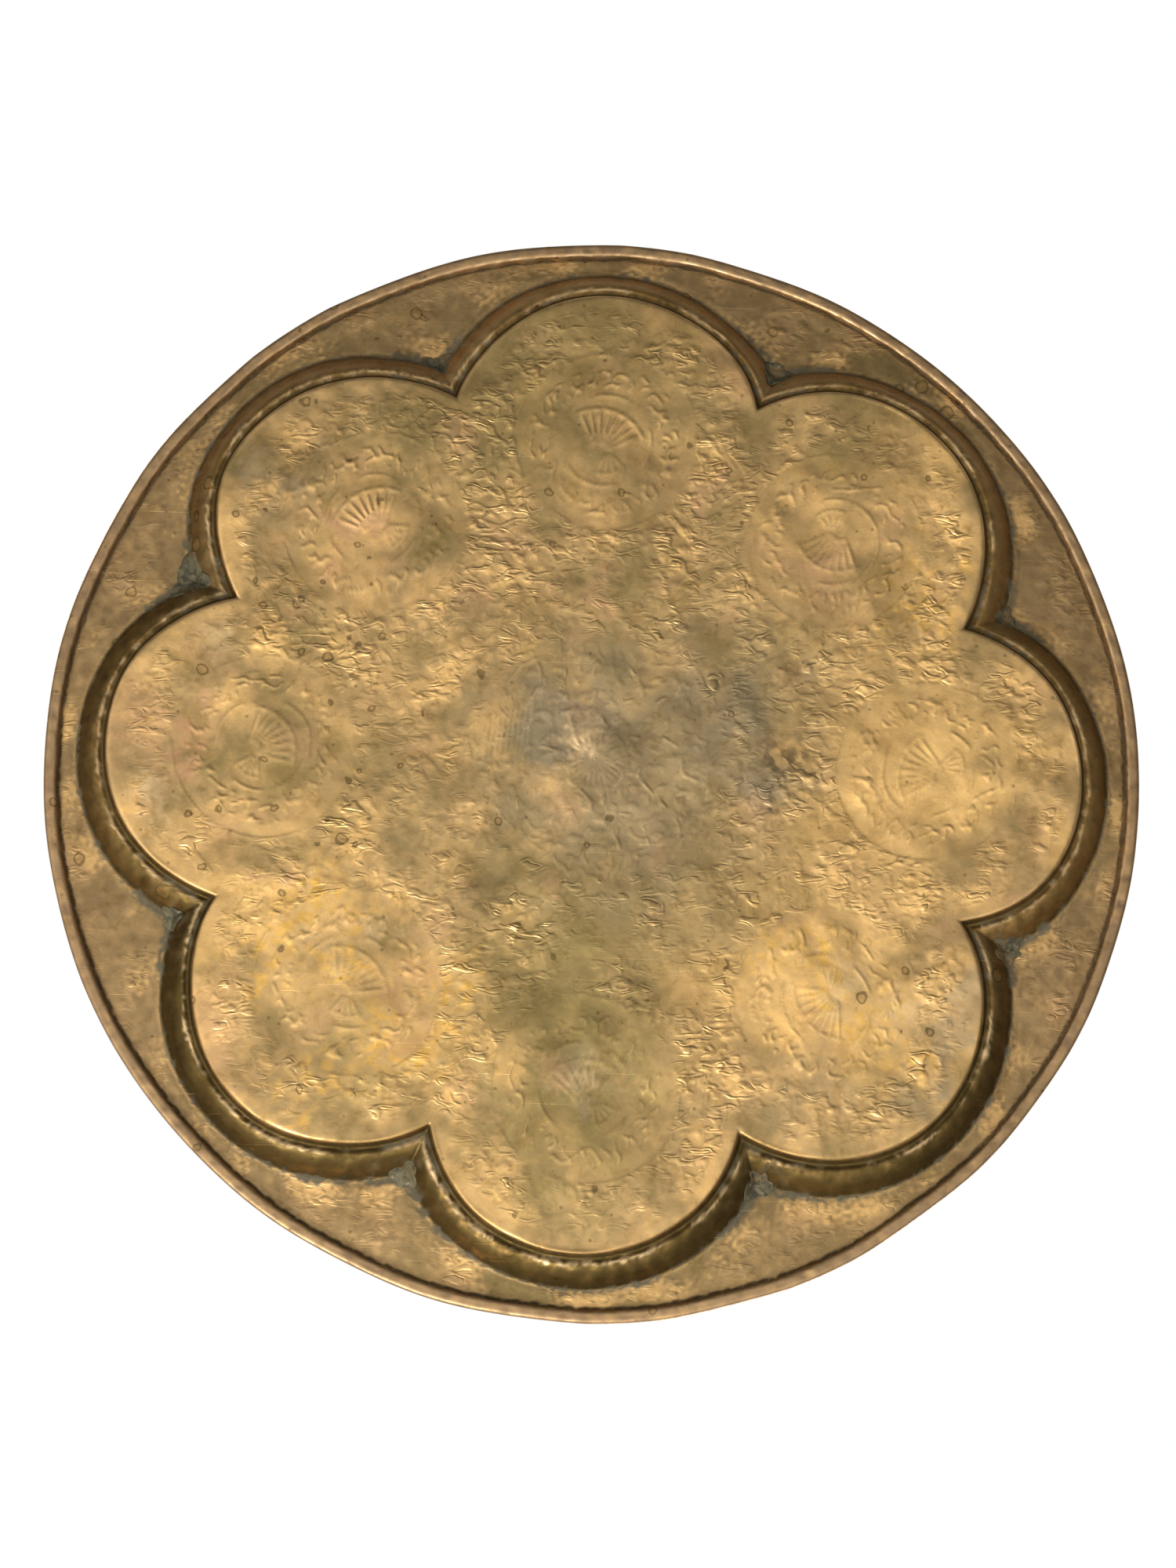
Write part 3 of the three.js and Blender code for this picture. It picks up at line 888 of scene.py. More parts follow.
# %% Stains, and worn edges with a painted highlight
stain = on_back * field * np.clip(spotted(STAIN_PLACES, speck_x, speck_y), 0, 1)
stain = stain * smooth(read(mottle_map, px, py - 20) + 0.4 * fleck, -0.9, 0.5)
colour = lay_over(colour, DIRT * 1.3, 0.75 * stain)
worn_and_highlit_edge = hump(out, -0.45, 0.42) * np.clip(0.50 + 0.30 * mottle + 0.2 * cloud, 0, 1)
# wear and painted highlight: the pale line on the well's edge, kept off the bottom
colour = lay_over(colour, PALE_BRASS, 0.40 * worn_and_highlit_edge * (~rolled) * smooth(toward_top, -0.7, 0.1))
print(int((stain > 0.5).sum()), "points are stained and", int((worn_and_highlit_edge > 0.5).sum()), "are worn")

# %% [markdown]
# ## Dirt, painted shade and residue
#
# Dirt and painted shade darken the hollows. The gap beside the lip holds dirt and painted shade; the riser and the
# wall just short of the crease are painted darker as shade; the groove, the crease where the wall meets the flange,
# and the punched lines of the front hold dirt. Grey residue is what ran from the solder: along the crease all
# round, wider near the corners, with splashes up the wall.

# %% Dirt, painted shade and residue
LIP_RADIUS, LIP_EDGE = 184.95, 185.75
GROOVE, CREASE = 2.6, 11.7
# dirt and painted shade: the gap beside the lip painted dark
lip_dirt_and_shade = np.clip(0.78 + 0.14 * fleck + 0.12 * mottle, 0.2, 0.95)
lip_gap = hump(radius + 0.15 * mottle, LIP_RADIUS, 0.55) * (~over) * lip_dirt_and_shade
# the lip's edge painted pale: wear and a painted highlight
colour = lay_over(colour, PALE_BRASS, 0.5 * rolled * hump(radius, LIP_EDGE, 0.3) * smooth(mottle, -0.6, 0.8))
# dirt and painted shade: the riser and the wall near the crease painted dark as shade, the groove, crease and front
# lines as dirt
dirt_and_shade = 0.35 * hump(out, 1.25, 0.75) * (0.80 + 0.2 * mottle)
dirt_and_shade = dirt_and_shade + hump(out + 0.3 * fleck, CREASE, 0.6) * (0.70 + 0.25 * mottle)
dirt_and_shade = (dirt_and_shade + 0.30 * hump(out, 10.4, 1.3) + 0.35 * hump(out, GROOVE, 0.6)) * (~rolled)
dirt_and_shade = dirt_and_shade + lip_gap + over * 0.45 * smooth(struck, 0.35, 1.0)
edge_line = out + 0.25 * mottle + 0.25 * fleck
residue = hump(edge_line, 12.3, 0.7) * np.clip(0.62 + 0.25 * cloud + 0.2 * mottle, 0.2, 1)
residue = residue + hump(edge_line, 12.9, 1.5) * smooth(near_corner + 0.22 * mottle + 0.14 * cloud, 0.2, 0.6)
residue = residue + 0.8 * hump(out, 2.2, 0.7) * smooth(near_corner + 0.30 * mottle, 0.3, 0.8)
residue = residue + near_corner * hump(out, 7.5, 5) * 0.5 * smooth(mottle + 0.5 * fleck, 0.2, 1.2)
residue = np.clip(residue * on_back, 0, 1)
dirt_and_shade = np.clip(dirt_and_shade * (1 - 0.6 * residue), 0, 1)
colour = lay_over(colour, DIRT, 0.88 * dirt_and_shade)
colour = lay_over(colour, RESIDUE, 0.9 * residue)
print("dirt covers", round(float((dirt_and_shade > 0.5).mean()) * 100, 1), "% of the points")

# %% [markdown]
# ## What the finish reads
#
# Five things are kept at each point of the mesh: the colour, painted shade and highlights included; the gloss,
# smoother where gold and rougher under dirt and painted shade; the crust, which turns metal to grit; where the
# punch left marks finer than the mesh; and where drops dried. A finish can read them by name.

# %% Gloss, crust and the places of fine marks
gold = np.clip(spotted(GOLD_PLACES, drift_x, drift_y), 0, 1) * places
gloss = 0.40 - 0.08 * gold - 0.03 * cloud - 0.06 * worn_and_highlit_edge + 0.03 * fleck + 0.06 * wall
gloss = np.clip(gloss - 0.05 * over + 0.40 * np.maximum(dirt_and_shade, residue) + 0.2 * stain, 0.22, 0.92)
crust = np.clip(0.7 * dirt_and_shade + 0.9 * residue + 0.5 * stain, 0, 1)
matted = field * np.clip(spotted(STRONG_MATTING, px, py) + 0.30 + 0.25 * cloud, 0, 1)
matted = matted * read(ground, px, py) * (1 - smooth(out, -8, -3))
raised = (on_back + 0.8 * over) * (1 - wall) * (matted + beyond * np.clip(0.22 + 0.18 * cloud, 0, 1))
dripped = on_back * spotted(DROP_PLACES, px, py)


def store(mesh, name, values):
    """Keeps a number or a colour for every point of a mesh, for its finish to read."""
    if values.ndim == 1:
        mesh.attributes.new(name, "FLOAT", "POINT").data.foreach_set("value", values.astype(np.float32))
    else:
        rgba = np.column_stack([np.clip(values, 0, 1), np.ones(len(values))])
        mesh.attributes.new(name, "FLOAT_COLOR", "POINT").data.foreach_set("color", rgba.astype(np.float32).ravel())


# the stored colour holds painted shade and painted highlights as well as patina
store(sheet_mesh, "patina", colour)
store(sheet_mesh, "gloss", gloss)
store(sheet_mesh, "crust", crust)
store(sheet_mesh, "matted", np.clip(raised, 0, 1))
store(sheet_mesh, "dripped", np.clip(dripped, 0, 1))
print("mean colour of the back:", np.round(colour[under].mean(0), 3), " mean gloss:", round(float(gloss.mean()), 3))

# %% [markdown]
# ## The brass finish
#
# The painted masks are as fine as the mesh. Finer things come from textures measured in metres on the tray
# itself, so they stay put from every side: cloudy tarnish, pin-prick pits, dried drops with a dark rim, and
# scratches from years of stacking. The same textures drive colour, gloss and a shallow bump.

# %% A small bench for building finishes
class Finish:
    """Builds a material node by node, with each call giving back the output to use next."""

    def __init__(self, name):
        self.material = bpy.data.materials.new(name)
        self.material.use_nodes = True
        self.tree = self.material.node_tree
        self.tree.nodes.clear()
        self.place = self.add("ShaderNodeTexCoord").outputs["Object"]

    def add(self, kind, **settings):
        node = self.tree.nodes.new(kind)
        for name, value in settings.items():
            setattr(node, name, value)
        return node

    def feed(self, socket, value):
        if isinstance(value, bpy.types.NodeSocket):
            self.tree.links.new(value, socket)
        elif isinstance(value, (tuple, list, np.ndarray)) and len(value) == 3 and socket.type == "RGBA":
            socket.default_value = (*value, 1.0)
        else:
            socket.default_value = value

    def sum(self, operation, one, other=0.0):
        node = self.add("ShaderNodeMath", operation=operation)
        self.feed(node.inputs[0], one)
        self.feed(node.inputs[1], other)
        return node.outputs[0]

    def ease(self, value, low, high, start=0.0, end=1.0):
        node = self.add("ShaderNodeMapRange", interpolation_type="SMOOTHSTEP")
        names = ("Value", "From Min", "From Max", "To Min", "To Max")
        for name, given in zip(names, (value, low, high, start, end)):
            self.feed(node.inputs[name], given)
        return node.outputs["Result"]

    def blend(self, amount, one, other, mode="MIX"):
        node = self.add("ShaderNodeMix", data_type="RGBA", blend_type=mode)
        self.feed(node.inputs[0], amount)
        self.feed(node.inputs[6], one)
        self.feed(node.inputs[7], other)
        return node.outputs[2]

    def kept(self, name, colour=False):
        node = self.add("ShaderNodeAttribute", attribute_name=name)
        return node.outputs["Color" if colour else "Fac"]

    def stretched(self, size, turn=(0, 0, 0)):
        node = self.add("ShaderNodeMapping")
        self.feed(node.inputs["Vector"], self.place)
        node.inputs["Scale"].default_value = size
        node.inputs["Rotation"].default_value = turn
        return node.outputs[0]

    def noise(self, per_metre, detail=3.0, rough=0.55, at=None, twist=0.0):
        node = self.add("ShaderNodeTexNoise")
        self.feed(node.inputs["Vector"], at or self.place)
        names = ("Scale", "Detail", "Roughness", "Distortion")
        for name, value in zip(names, (per_metre, detail, rough, twist)):
            node.inputs[name].default_value = value
        return node.outputs["Fac"]

    def cells(self, per_metre, at=None):
        node = self.add("ShaderNodeTexVoronoi", feature="F1")
        self.feed(node.inputs["Vector"], at or self.place)
        node.inputs["Scale"].default_value = per_metre
        return node

    def bump(self, height, depth_mm, after=None):
        node = self.add("ShaderNodeBump")
        self.feed(node.inputs["Height"], height)
        node.inputs["Distance"].default_value = depth_mm * MM
        node.inputs["Strength"].default_value = 1.0
        if after is not None:
            self.feed(node.inputs["Normal"], after)
        return node.outputs["Normal"]

    def done(self, colour, roughness, metal, normal):
        shader = self.add("ShaderNodeBsdfPrincipled")
        output = self.add("ShaderNodeOutputMaterial")
        names = ("Base Color", "Roughness", "Metallic", "Normal")
        for name, value in zip(names, (colour, roughness, metal, normal)):
            self.feed(shader.inputs[name], value)
        self.tree.links.new(shader.outputs[0], output.inputs[0])
        return self.material


print("a finish is built with", [name for name in vars(Finish) if not name.startswith("_")])

# %% [markdown]
# The painted colour is broken up at two sizes: tarnish in clouds of a finger's width, and freckles of a few
# millimetres. Each one darkens some places and lightens others, by multiplying, so the hue under it stays.

# %% The brass: tarnish and freckles
brass = Finish("old_brass")
tint = brass.kept("patina", colour=True)
tarnish = brass.noise(60.0, 6.0, 0.66, twist=0.8)
freckle = brass.noise(230.0, 5.0, 0.68, twist=0.5)
grain = brass.noise(760.0, 3.0, 0.6)
SHADES = [  # what drives it, where it starts, where it is full, how strong it is, what it multiplies by
    (tarnish, 0.51, 0.64, 0.46, (0.68, 0.66, 0.56)),
    (tarnish, 0.47, 0.36, 0.48, (1.30, 1.24, 1.12)),
    (freckle, 0.54, 0.68, 0.42, (0.62, 0.58, 0.48)),
    (freckle, 0.44, 0.32, 0.42, (1.34, 1.30, 1.26)),
]
for source, starts, ends, strength, shade in SHADES:
    here = brass.ease(source, starts, ends, 0.0, strength)
    tint = brass.blend(here, tint, brass.blend(1.0, tint, shade, "MULTIPLY"))
print("tinted by", len(SHADES), "shades")

# %% [markdown]
# Pits are small dark cells. Each cell of the texture has a random shade of its own, so keeping only the highest
# shades leaves a few pits, well apart.

# %% The brass: pits
pit = brass.cells(300.0)
pit_shade = brass.add("ShaderNodeSeparateColor")
brass.feed(pit_shade.inputs[0], pit.outputs["Color"])
pit_round = brass.ease(pit.outputs["Distance"], 0.26, 0.10)
pits = brass.sum("MULTIPLY", pit_round, brass.ease(pit_shade.outputs[0], 0.90, 0.94))
tint = brass.blend(brass.sum("MULTIPLY", pits, 0.40), tint, tuple(DIRT))
print("the brass has", len(brass.tree.nodes), "nodes so far")

# %% [markdown]
# A dried drop leaves a thin dark rim and a browner middle. Drops are cells too, a centimetre apart, each with a
# size of its own, and they show only where the mesh says that something dripped. Their outline is shoved about
# by a noise, since no drop dries as a true circle.

# %% The brass: dried drops
shove = brass.add("ShaderNodeTexNoise")
brass.feed(shove.inputs["Vector"], brass.place)
shove.inputs["Scale"].default_value = 240.0
soft = brass.add("ShaderNodeVectorMath", operation="SCALE")
brass.feed(soft.inputs[0], shove.outputs["Color"])
soft.inputs["Scale"].default_value = 0.0026
wavy = brass.add("ShaderNodeVectorMath", operation="ADD")
brass.feed(wavy.inputs[0], brass.place)
brass.feed(wavy.inputs[1], soft.outputs[0])
drop = brass.cells(104.0, at=wavy.outputs[0])
drop_shade = brass.add("ShaderNodeSeparateColor")
brass.feed(drop_shade.inputs[0], drop.outputs["Color"])
drop_here = brass.sum("ADD", drop_shade.outputs[1], brass.kept("dripped"))
drop_here = brass.ease(drop_here, 0.90, 0.95)
drop_size = brass.ease(drop_shade.outputs[2], 0.0, 1.0, 0.10, 0.27)
off_rim = brass.sum("SUBTRACT", drop.outputs["Distance"], drop_size)
rims = brass.sum("MULTIPLY", brass.ease(brass.sum("ABSOLUTE", off_rim), 0.046, 0.014), drop_here)
filled = brass.sum("MULTIPLY", brass.ease(off_rim, 0.0, -0.03), drop_here)
tint = brass.blend(brass.sum("MULTIPLY", filled, 0.30), tint, tuple(BROWN_BRASS))
tint = brass.blend(brass.sum("MULTIPLY", rims, 0.62), tint, tuple(DARK_BRASS * 0.8))
print("the brass has", len(brass.tree.nodes), "nodes so far")

# %% [markdown]
# Scratches are noise drawn out seventy or eighty times as long as it is wide, with only its highest streaks
# kept. Two sets lie at an angle to each other, from years of stacking and sliding.

# %% The brass: scratches
scratch_a = brass.noise(26.0, 2.0, 0.5, at=brass.stretched((1.0, 70.0, 1.0), (0, 0, 0.5)))
scratch_b = brass.noise(24.0, 2.0, 0.5, at=brass.stretched((1.0, 80.0, 1.0), (0, 0, -0.7)))
scratches = brass.sum("MAXIMUM", brass.ease(scratch_a, 0.70, 0.76), brass.ease(scratch_b, 0.71, 0.77))
tint = brass.blend(brass.sum("MULTIPLY", scratches, 0.22), tint, tuple(GOLD_BRASS))
print("the brass has", len(brass.tree.nodes), "nodes so far")

# %% [markdown]
# The matting punch left short crooked ridges, finer than the mesh can hold. A noise passes through its middle
# value along winding lines, so the distance from that value draws the curls, and only where the sheet was struck.

# %% The brass: curls of the matting punch
bend = brass.noise(205.0, 1.0, 0.4, at=brass.stretched((0.66, 1.40, 1.0), (0, 0, 0.12)), twist=0.3)
off_bend = brass.sum("ABSOLUTE", brass.sum("SUBTRACT", bend, 0.5))
thin_curls = brass.sum("MULTIPLY", brass.ease(off_bend, 0.130, 0.0), 0.6)
curls = brass.sum("MAXIMUM", thin_curls, brass.ease(bend, 0.52, 0.68))
curls = brass.sum("MULTIPLY", curls, brass.ease(brass.noise(170.0, 1.0, 0.4), 0.40, 0.60))
curls = brass.sum("MULTIPLY", curls, brass.kept("matted"))
print("the brass has", len(brass.tree.nodes), "nodes so far")

# %% [markdown]
# Last come gloss and relief. Tarnish, freckles, pits and drops are all a little rougher than clean metal, and
# crust is hardly metal at all. Each bump stands on the one before it, from soft waves down to grit.

# %% The brass: gloss and fine relief
crust_here = brass.kept("crust")
rough = brass.sum("ADD", brass.kept("gloss"), brass.ease(freckle, 0.3, 0.7, -0.05, 0.09))
rough = brass.sum("ADD", rough, brass.sum("MULTIPLY", brass.sum("ADD", pits, filled), 0.12))
rough = brass.sum("ADD", rough, brass.ease(tarnish, 0.40, 0.66, -0.03, 0.08))
metal = brass.ease(crust_here, 0.15, 1.0, 1.0, 0.12)
fine = brass.bump(brass.noise(120.0, 3.0, 0.5), 0.16)
fine = brass.bump(curls, 0.36, after=fine)
fine = brass.bump(grain, 0.030, after=fine)
sunk = brass.sum("MAXIMUM", pits, brass.sum("MULTIPLY", scratches, 0.5))
fine = brass.bump(brass.sum("SUBTRACT", 1.0, sunk), 0.03, after=fine)
rubble = brass.bump(brass.sum("MULTIPLY", brass.noise(700.0, 4.0, 0.7), crust_here), 0.30, after=fine)
brass_finish = brass.done(tint, rough, metal, rubble)
sheet = new_piece("pan_sheet", sheet_mesh, "tray_pan", brass_finish)
print("finish", brass_finish.name, "has", len(brass.tree.nodes), "nodes, and is on", sheet.name)

# %% [markdown]
# ## The wire in the rim
#
# The rim is rolled over an iron wire, bent to a ring with its two ends butted. It is all but hidden, and shows
# only as a glint in the gap beside the lip, but the roll would be an empty tube without it. It is swept as a
# ring of small circles, a little uneven, with a square cut where its ends meet.

# %% Make the wire
WIRE_STEPS = 720
WIRE_SIDES = 14
WIRE_CUT = math.radians(0.12)
along = np.linspace(WIRE_CUT, 2 * math.pi - WIRE_CUT, WIRE_STEPS) + 0.31
about = np.arange(WIRE_SIDES) * 2 * math.pi / WIRE_SIDES
wire_size = WIRE_RADIUS - 0.03 + 0.02 * np.sin(31 * along)[:, None]
wire_out = ROLL_RING + wire_size * np.cos(about)[None, :]
wire_up = ROLL_HEIGHT + wire_size * np.sin(about)[None, :]
wx, wy, wz = settle(wire_out * np.cos(along)[:, None], wire_out * np.sin(along)[:, None], wire_up + 0 * wire_out)
wire_points = np.column_stack([wx.ravel(), wy.ravel(), wz.ravel()])
n = np.arange(WIRE_STEPS - 1)[:, None] * WIRE_SIDES
j, j1 = np.arange(WIRE_SIDES), (np.arange(WIRE_SIDES) + 1) % WIRE_SIDES
wire_quads = np.stack([n + j, n + WIRE_SIDES + j, n + WIRE_SIDES + j1, n + j1], axis=-1).reshape(-1, 4)
tips = np.array([wire_points[:WIRE_SIDES].mean(0), wire_points[-WIRE_SIDES:].mean(0)])
end = len(wire_points)
wire_tris = np.concatenate([
    np.column_stack([np.full(WIRE_SIDES, end), j, j1]),
    np.column_stack([np.full(WIRE_SIDES, end + 1), end - WIRE_SIDES + j1, end - WIRE_SIDES + j]),
])
wire_mesh = new_mesh("iron_wire", np.vstack([wire_points, tips]), wire_quads, wire_tris)
print("wire:", len(wire_mesh.vertices), "points")

# %% [markdown]
# Drawn iron that never sees a cloth is dull, with a brown bloom of rust in places.

# %% The wire's finish
iron = Finish("dull_iron")
iron_grain = iron.noise(900.0, 4.0, 0.6)
iron_tint = iron.blend(iron.ease(iron.noise(140.0), 0.4, 0.7), paint(98, 92, 86), paint(112, 78, 56))
iron_finish = iron.done(
    iron_tint, iron.ease(iron_grain, 0.3, 0.7, 0.45, 0.7), iron.ease(iron_grain, 0.35, 0.6, 0.6, 0.9),
    iron.bump(iron_grain, 0.05),
)
wire = new_piece("iron_rim_wire", wire_mesh, "rim_wire", iron_finish)
print(wire.name, "spans", np.round(np.array(wire.dimensions) / MM, 1), "mm")

# %% [markdown]
# ## Solder in the corners
#
# A raised sheet is stretched most in the outside corner between two lobes, and there it thins and cracks. Each
# corner holds grey solder, run in hot: a lump that follows the sheet under it, thick in the middle, thin and
# ragged at its edge, with a tail down the crease. Each is a patch of points on the sheet's own underside, with
# one face pushed out by the lump's thickness and one just inside the sheet, so no light shows between them.

# %% The sheet under the solder
SOLDER_REACHES = [9.5, 7.0, 7.5, 5.5, 7.5, 7.0, 6.0, 5.5]
MOULDING_REACH = 11.4
OUTER_CORNER = CORNER_ALONG + math.sqrt((LOBE_RADIUS + MOULDING_REACH) ** 2 - CORNER_ACROSS ** 2)
BACK_OF_SOLDER = 0.12
FILLET_TURN = math.radians(50)


def underside_at(x, y):
    """The height of the sheet's underside, beyond the field, with the flange's soft dents."""
    out = distance_out(x, y)
    level = np.interp(out, underside_line[:, 0], underside_line[:, 1])
    level = level + smooth(out, LEAN_FROM, LEAN_TO) * (flange_under(np.hypot(x, y)) - WELL_DEPTH)
    return level + 0.6 * field_shape(x + 30, y, smooth(out, 12.0, 15.0))


print("the flange's corners are", round(OUTER_CORNER, 1), "mm from the middle")

# %% [markdown]
# A lump is a star of rays round a point near its corner. Its outline has two arms that run a little way along
# the creases and a tail towards the well, and is torn by the maps. Its thickness falls away to a thin edge, and
# the sides join the face that shows to the one that is hidden in the sheet.

# %% One lump of solder
def lump(index, reach):
    """One fill of solder, as a closed mesh, within the space that its CAD piece takes up."""
    angle = (index + 0.5) * LOBE_STEP
    middle = OUTER_CORNER + 0.22 * reach
    spokes, shells = ((144, 18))
    turn = np.arange(spokes) * 2 * math.pi / spokes
    bearing = (turn + math.pi) % (2 * math.pi) - math.pi
    arms = hump(np.abs(bearing), FILLET_TURN + 0.25, 0.36) + 0.6 * hump(np.abs(bearing), math.pi, 0.45)
    tatter = 0.08 * read(mottle_map, 4.5 * np.cos(turn) + 40 * index, 4.5 * np.sin(turn))
    tatter += 0.025 * read(fleck_map, 5 * np.cos(turn), 5 * np.sin(turn) + 40 * index)
    share = np.linspace(1 / shells, 1, shells)[:, None]
    away = share * reach * np.clip(0.60 + 0.30 * np.minimum(arms, 1) + tatter, 0.40, 0.98)
    along, across = middle + away * np.cos(turn), away * np.sin(turn)
    x = along * math.cos(angle) - across * math.sin(angle)
    y = along * math.sin(angle) + across * math.cos(angle)
    lift = (1 - share ** 2) ** 0.8 * (0.40 + 0.06 * reach) * (1 + 0.30 * read(mottle_map, x + 30, y))
    lift = np.maximum(lift + (1 - share) * 0.16 * read(fleck_map, x, y), 0.02) + 0.03
    sheet_under = underside_at(x, y)
    low = np.minimum(sheet_under - lift * (share < 1), sheet_under + 0.02)
    high = sheet_under + BACK_OF_SOLDER
    centre_x, centre_y = middle * math.cos(angle), middle * math.sin(angle)
    tops = [low[0].mean() - 0.05, high[0].mean()]
    xs = np.concatenate([x.ravel(), x.ravel(), [centre_x, centre_x]])
    ys = np.concatenate([y.ravel(), y.ravel(), [centre_y, centre_y]])
    zs = np.concatenate([low.ravel(), high.ravel(), tops])
    points = np.column_stack(settle(xs, ys, zs))
    half = spokes * shells
    j, j1 = np.arange(spokes), (np.arange(spokes) + 1) % spokes
    a = np.arange(shells - 1)[:, None] * spokes
    below = np.stack([a + j, a + j1, a + spokes + j1, a + spokes + j], axis=-1).reshape(-1, 4)
    edge = half - spokes
    side = np.column_stack([edge + j, edge + j1, half + edge + j1, half + edge + j])
    tris = np.concatenate([
        np.column_stack([np.full(spokes, 2 * half), j1, j]),
        np.column_stack([np.full(spokes, 2 * half + 1), half + j, half + j1]),
    ])
    return new_mesh(f"solder_{index + 1}", points, np.concatenate([below, below[:, ::-1] + half, side]), tris)


print("solder reaches", min(SOLDER_REACHES), "to", max(SOLDER_REACHES), "mm from its corner")

# %% [markdown]
# Old solder is grey and gritty like damp sugar: its hollows are painted dark as shade, its grains pale, and some of
# it has taken a brown bloom from the brass. It is dull, and only its grains have a little gloss.

# %% The solder's finish, and the eight fills
solder = Finish("old_solder")
sugar = solder.noise(620.0, 5.0, 0.75)
lumps = solder.noise(210.0, 4.0, 0.62, twist=0.8)
solder_tint = solder.blend(solder.ease(lumps, 0.40, 0.62), paint(66, 62, 44), paint(106, 99, 72))
solder_tint = solder.blend(solder.ease(solder.noise(90.0), 0.50, 0.64), solder_tint, paint(116, 96, 62))
solder_tint = solder.blend(solder.ease(sugar, 0.60, 0.74), solder_tint, paint(200, 190, 160))
# painted shade: the solder's hollows darkened
solder_tint = solder.blend(solder.ease(sugar, 0.42, 0.32), solder_tint, paint(48, 44, 34))
solder_finish = solder.done(
    solder_tint, solder.ease(sugar, 0.35, 0.7, 0.78, 0.48), solder.ease(lumps, 0.35, 0.7, 0.05, 0.25),
    solder.bump(sugar, 0.30, after=solder.bump(lumps, 0.5)),
)
for index, reach in enumerate(SOLDER_REACHES):
    node = f"cusp_solder_{index + 1}"
    piece = new_piece(f"solder_fill_{index + 1}", lump(index, reach), node, solder_finish)
    print(piece.name, "spans", np.round(np.array(piece.dimensions) / MM, 1), "mm")

# %% [markdown]
# ## Where the tray is seen from
#
# The tray lies flat in its own frame, so the camera looks up at its back, a little from one side, as it is when
# the tray leans on a stand. A long lens from about a metre keeps the circle round.

# %% Camera
AIM = Vector((0.0024, -0.0078, 0.0075))
LEAN, SIDE, ROLL_OF_CAMERA = math.radians(10.6), math.radians(1.7), math.radians(2.0)
CAMERA_FAR = 0.940
LENS, FILM = 62.8, 36.0
toward = Vector((math.sin(SIDE), -math.sin(LEAN), -math.cos(LEAN))).normalized()
camera = bpy.data.objects.new("viewer", bpy.data.cameras.new("viewer"))
bpy.context.scene.collection.objects.link(camera)
camera.location = AIM + CAMERA_FAR * toward
upright = (Vector((0, 1, 0)) - toward * toward.y).normalized()
turn_of_camera = Matrix((upright.cross(toward), upright, toward)).transposed()
turn_of_camera = turn_of_camera @ Matrix.Rotation(ROLL_OF_CAMERA, 3, "Z")
camera.rotation_euler = turn_of_camera.to_euler()
camera.data.lens = LENS
camera.data.sensor_width = FILM
camera.data.clip_start, camera.data.clip_end = 0.01, 20.0
bpy.context.scene.camera = camera
print("camera at", [round(v, 3) for v in camera.location])

# %% [markdown]
# ## Light and ground
#
# Brass shows what it reflects, so the light is what makes it look like brass. The room is brightest low in
# front, which makes the ridges that face that way glow, and dim behind, which keeps the rest brown rather than
# black. Its upper half is raised as well, so the open face of the tray isn't dull. The camera itself sees only
# plain white behind the tray.

# %% World
WARM_WHITE = (1.0, 0.98, 0.95)
BRIGHTEST_FROM = Vector((0.30, -0.60, -0.74)).normalized()
scene = bpy.context.scene
scene.view_settings.view_transform = "Standard"
scene.world = bpy.data.worlds.new("pale_room")
scene.world.use_nodes = True
room = scene.world.node_tree
room.nodes.clear()


def eased_light(source, low, high, darkest, brightest):
    """Turns a direction's number into a strength of light, with an even ease."""
    node = room.nodes.new("ShaderNodeMapRange")
    node.interpolation_type = "SMOOTHSTEP"
    room.links.new(source, node.inputs["Value"])
    names = ("From Min", "From Max", "To Min", "To Max")
    for name, value in zip(names, (low, high, darkest, brightest)):
        node.inputs[name].default_value = value
    return node.outputs[0]


surround = room.nodes.new("ShaderNodeTexCoord").outputs["Generated"]
slant = room.nodes.new("ShaderNodeVectorMath")
slant.operation = "DOT_PRODUCT"
slant.inputs[1].default_value = BRIGHTEST_FROM
room.links.new(surround, slant.inputs[0])
upward_part = room.nodes.new("ShaderNodeSeparateXYZ")
room.links.new(surround, upward_part.inputs[0])
both = room.nodes.new("ShaderNodeMath")
both.operation = "ADD"
room.links.new(eased_light(slant.outputs["Value"], 0.15, 0.99, 0.20, 1.30), both.inputs[0])
room.links.new(eased_light(upward_part.outputs["Z"], 0.0, 0.55, 0.0, 0.55), both.inputs[1])
print("the room is brightest towards", [round(v, 2) for v in BRIGHTEST_FROM])

# %% [markdown]
# The light that the tray reflects and the white that the camera sees are two backgrounds. A light path node
# picks between them.

# %% What lights the tray, and what is seen behind it
glow = room.nodes.new("ShaderNodeBackground")
glow.inputs["Color"].default_value = (*WARM_WHITE, 1.0)
room.links.new(both.outputs[0], glow.inputs["Strength"])
plain = room.nodes.new("ShaderNodeBackground")
plain.inputs["Color"].default_value = (1.0, 1.0, 1.0, 1.0)
seen = room.nodes.new("ShaderNodeLightPath")
pick = room.nodes.new("ShaderNodeMixShader")
room.links.new(seen.outputs["Is Camera Ray"], pick.inputs[0])
room.links.new(glow.outputs[0], pick.inputs[1])
room.links.new(plain.outputs[0], pick.inputs[2])
room.links.new(pick.outputs[0], room.nodes.new("ShaderNodeOutputWorld").inputs[0])
print("the room has", len(room.nodes), "nodes")

# %% [markdown]
# Three wide soft panels add a sheen with a direction. The one low in front lights the back of the tray, and the
# other two light its open face. Each is turned to face the tray, and the camera sees none of them.

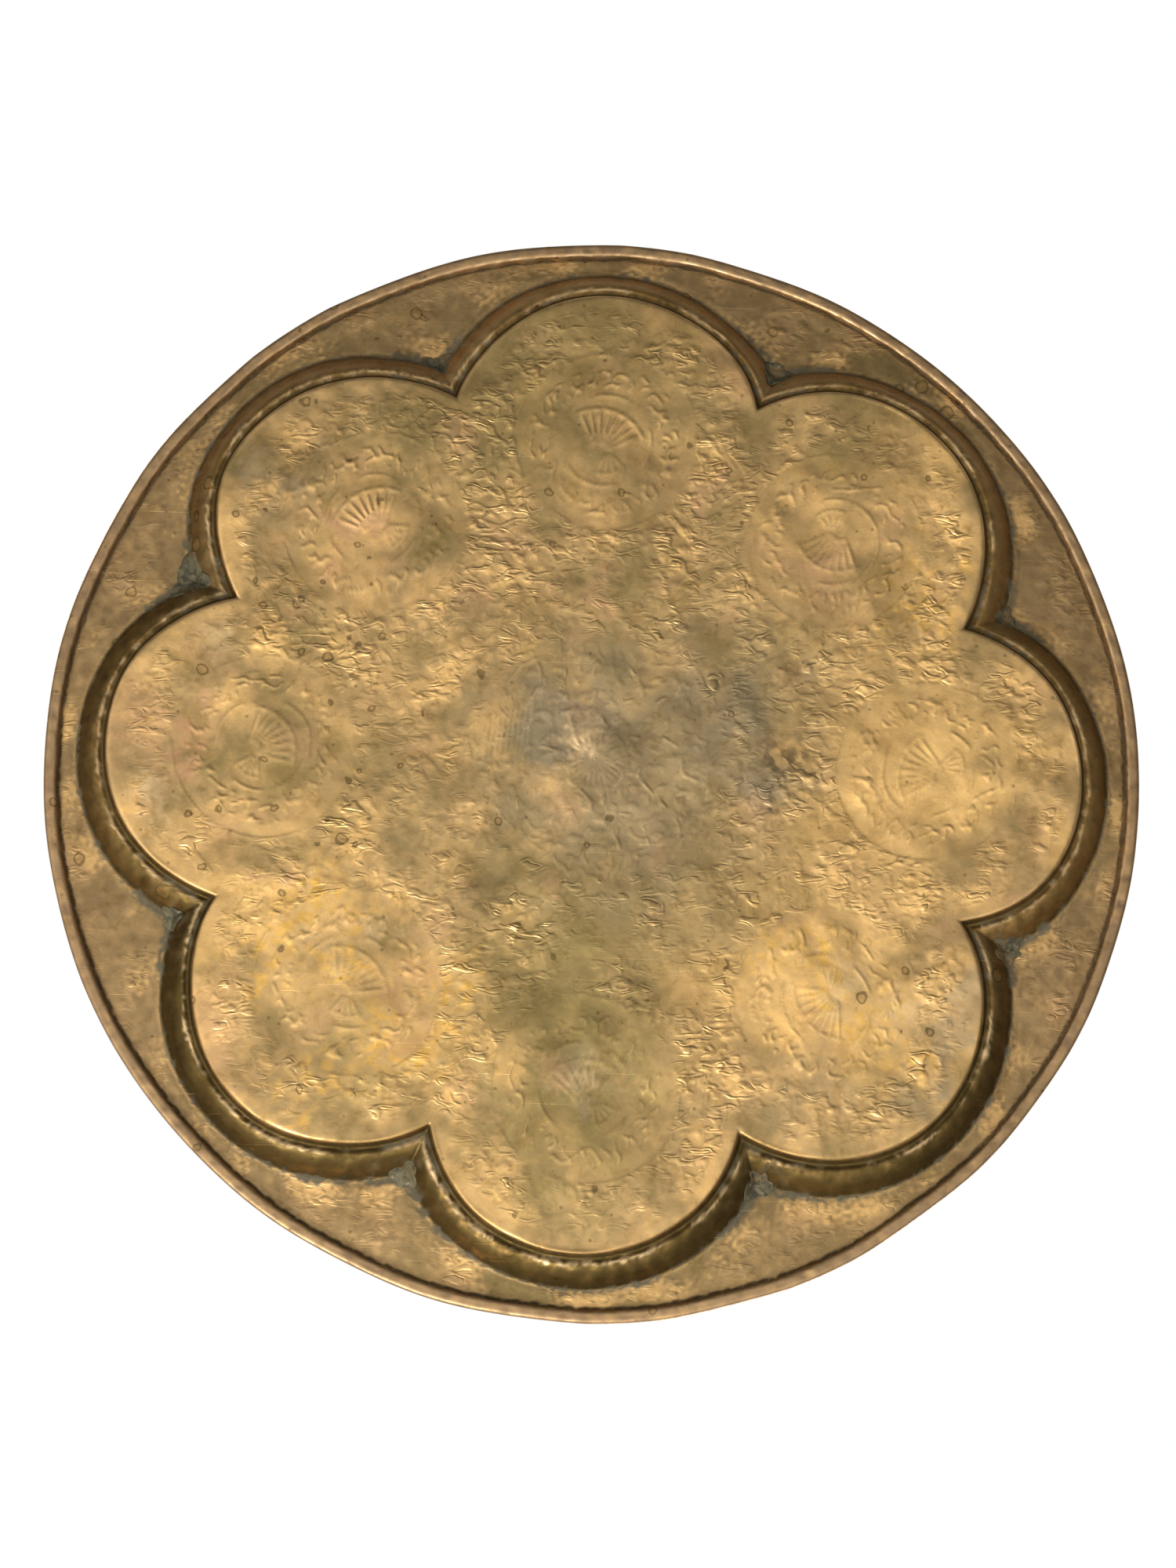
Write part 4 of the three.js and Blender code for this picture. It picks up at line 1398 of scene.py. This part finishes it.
# %% Soft panels
def panel(name, place, width, height, watts):
    """A soft oblong light that faces the tray."""
    light = bpy.data.lights.new(name, "AREA")
    light.shape, light.size, light.size_y = "RECTANGLE", width, height
    light.energy, light.color = watts, WARM_WHITE
    holder = bpy.data.objects.new(name, light)
    bpy.context.scene.collection.objects.link(holder)
    holder.location = place
    holder.rotation_euler = (Vector(place) - AIM).to_track_quat("Z", "Y").to_euler()
    holder.visible_camera = False


panel("low_front", (0.45, -1.05, -0.90), 0.5, 0.4, 12.0)
panel("over_front", (-0.5, -0.9, 1.1), 0.9, 0.7, 7.0)
panel("over_back", (0.9, 0.6, 0.9), 0.7, 0.7, 4.0)
print("three panels are lit")

# %% [markdown]
# The ground is a plain pale sheet under the tray. It is clear from below, so it doesn't hide the tray's back.
# The tray's shadow falls on it, but it sends no light back to the tray and isn't seen in the brass.

# %% Ground
GROUND_REACH, GROUND_DROP = 9.0, 0.0005
GROUND_COLOUR = (0.82, 0.81, 0.79)
ground_mesh = bpy.data.meshes.new("ground")
corners = [(x * GROUND_REACH, y * GROUND_REACH, 0) for x, y in ((-1, -1), (1, -1), (1, 1), (-1, 1))]
ground_mesh.from_pydata(corners, [], [(0, 1, 2, 3)])
floor = bpy.data.objects.new("ground", ground_mesh)
scene.collection.objects.link(floor)
floor.location.z = -GROUND_DROP
pale = Finish("pale_ground")
facing = pale.add("ShaderNodeNewGeometry").outputs["Backfacing"]
matte = pale.add("ShaderNodeBsdfDiffuse")
matte.inputs["Color"].default_value = (*GROUND_COLOUR, 1.0)
clear = pale.add("ShaderNodeBsdfTransparent")
either = pale.add("ShaderNodeMixShader")
pale.tree.links.new(facing, either.inputs[0])
pale.tree.links.new(matte.outputs[0], either.inputs[1])
pale.tree.links.new(clear.outputs[0], either.inputs[2])
pale.tree.links.new(either.outputs[0], pale.add("ShaderNodeOutputMaterial").inputs[0])
ground_mesh.materials.append(pale.material)
floor.visible_diffuse = floor.visible_glossy = floor.visible_transmission = floor.visible_shadow = False
print("the ground is", 2 * GROUND_REACH, "m wide")

# %% [markdown]
# ## The CAD's box
#
# The finished surface should fill the CAD's box and not pass it.
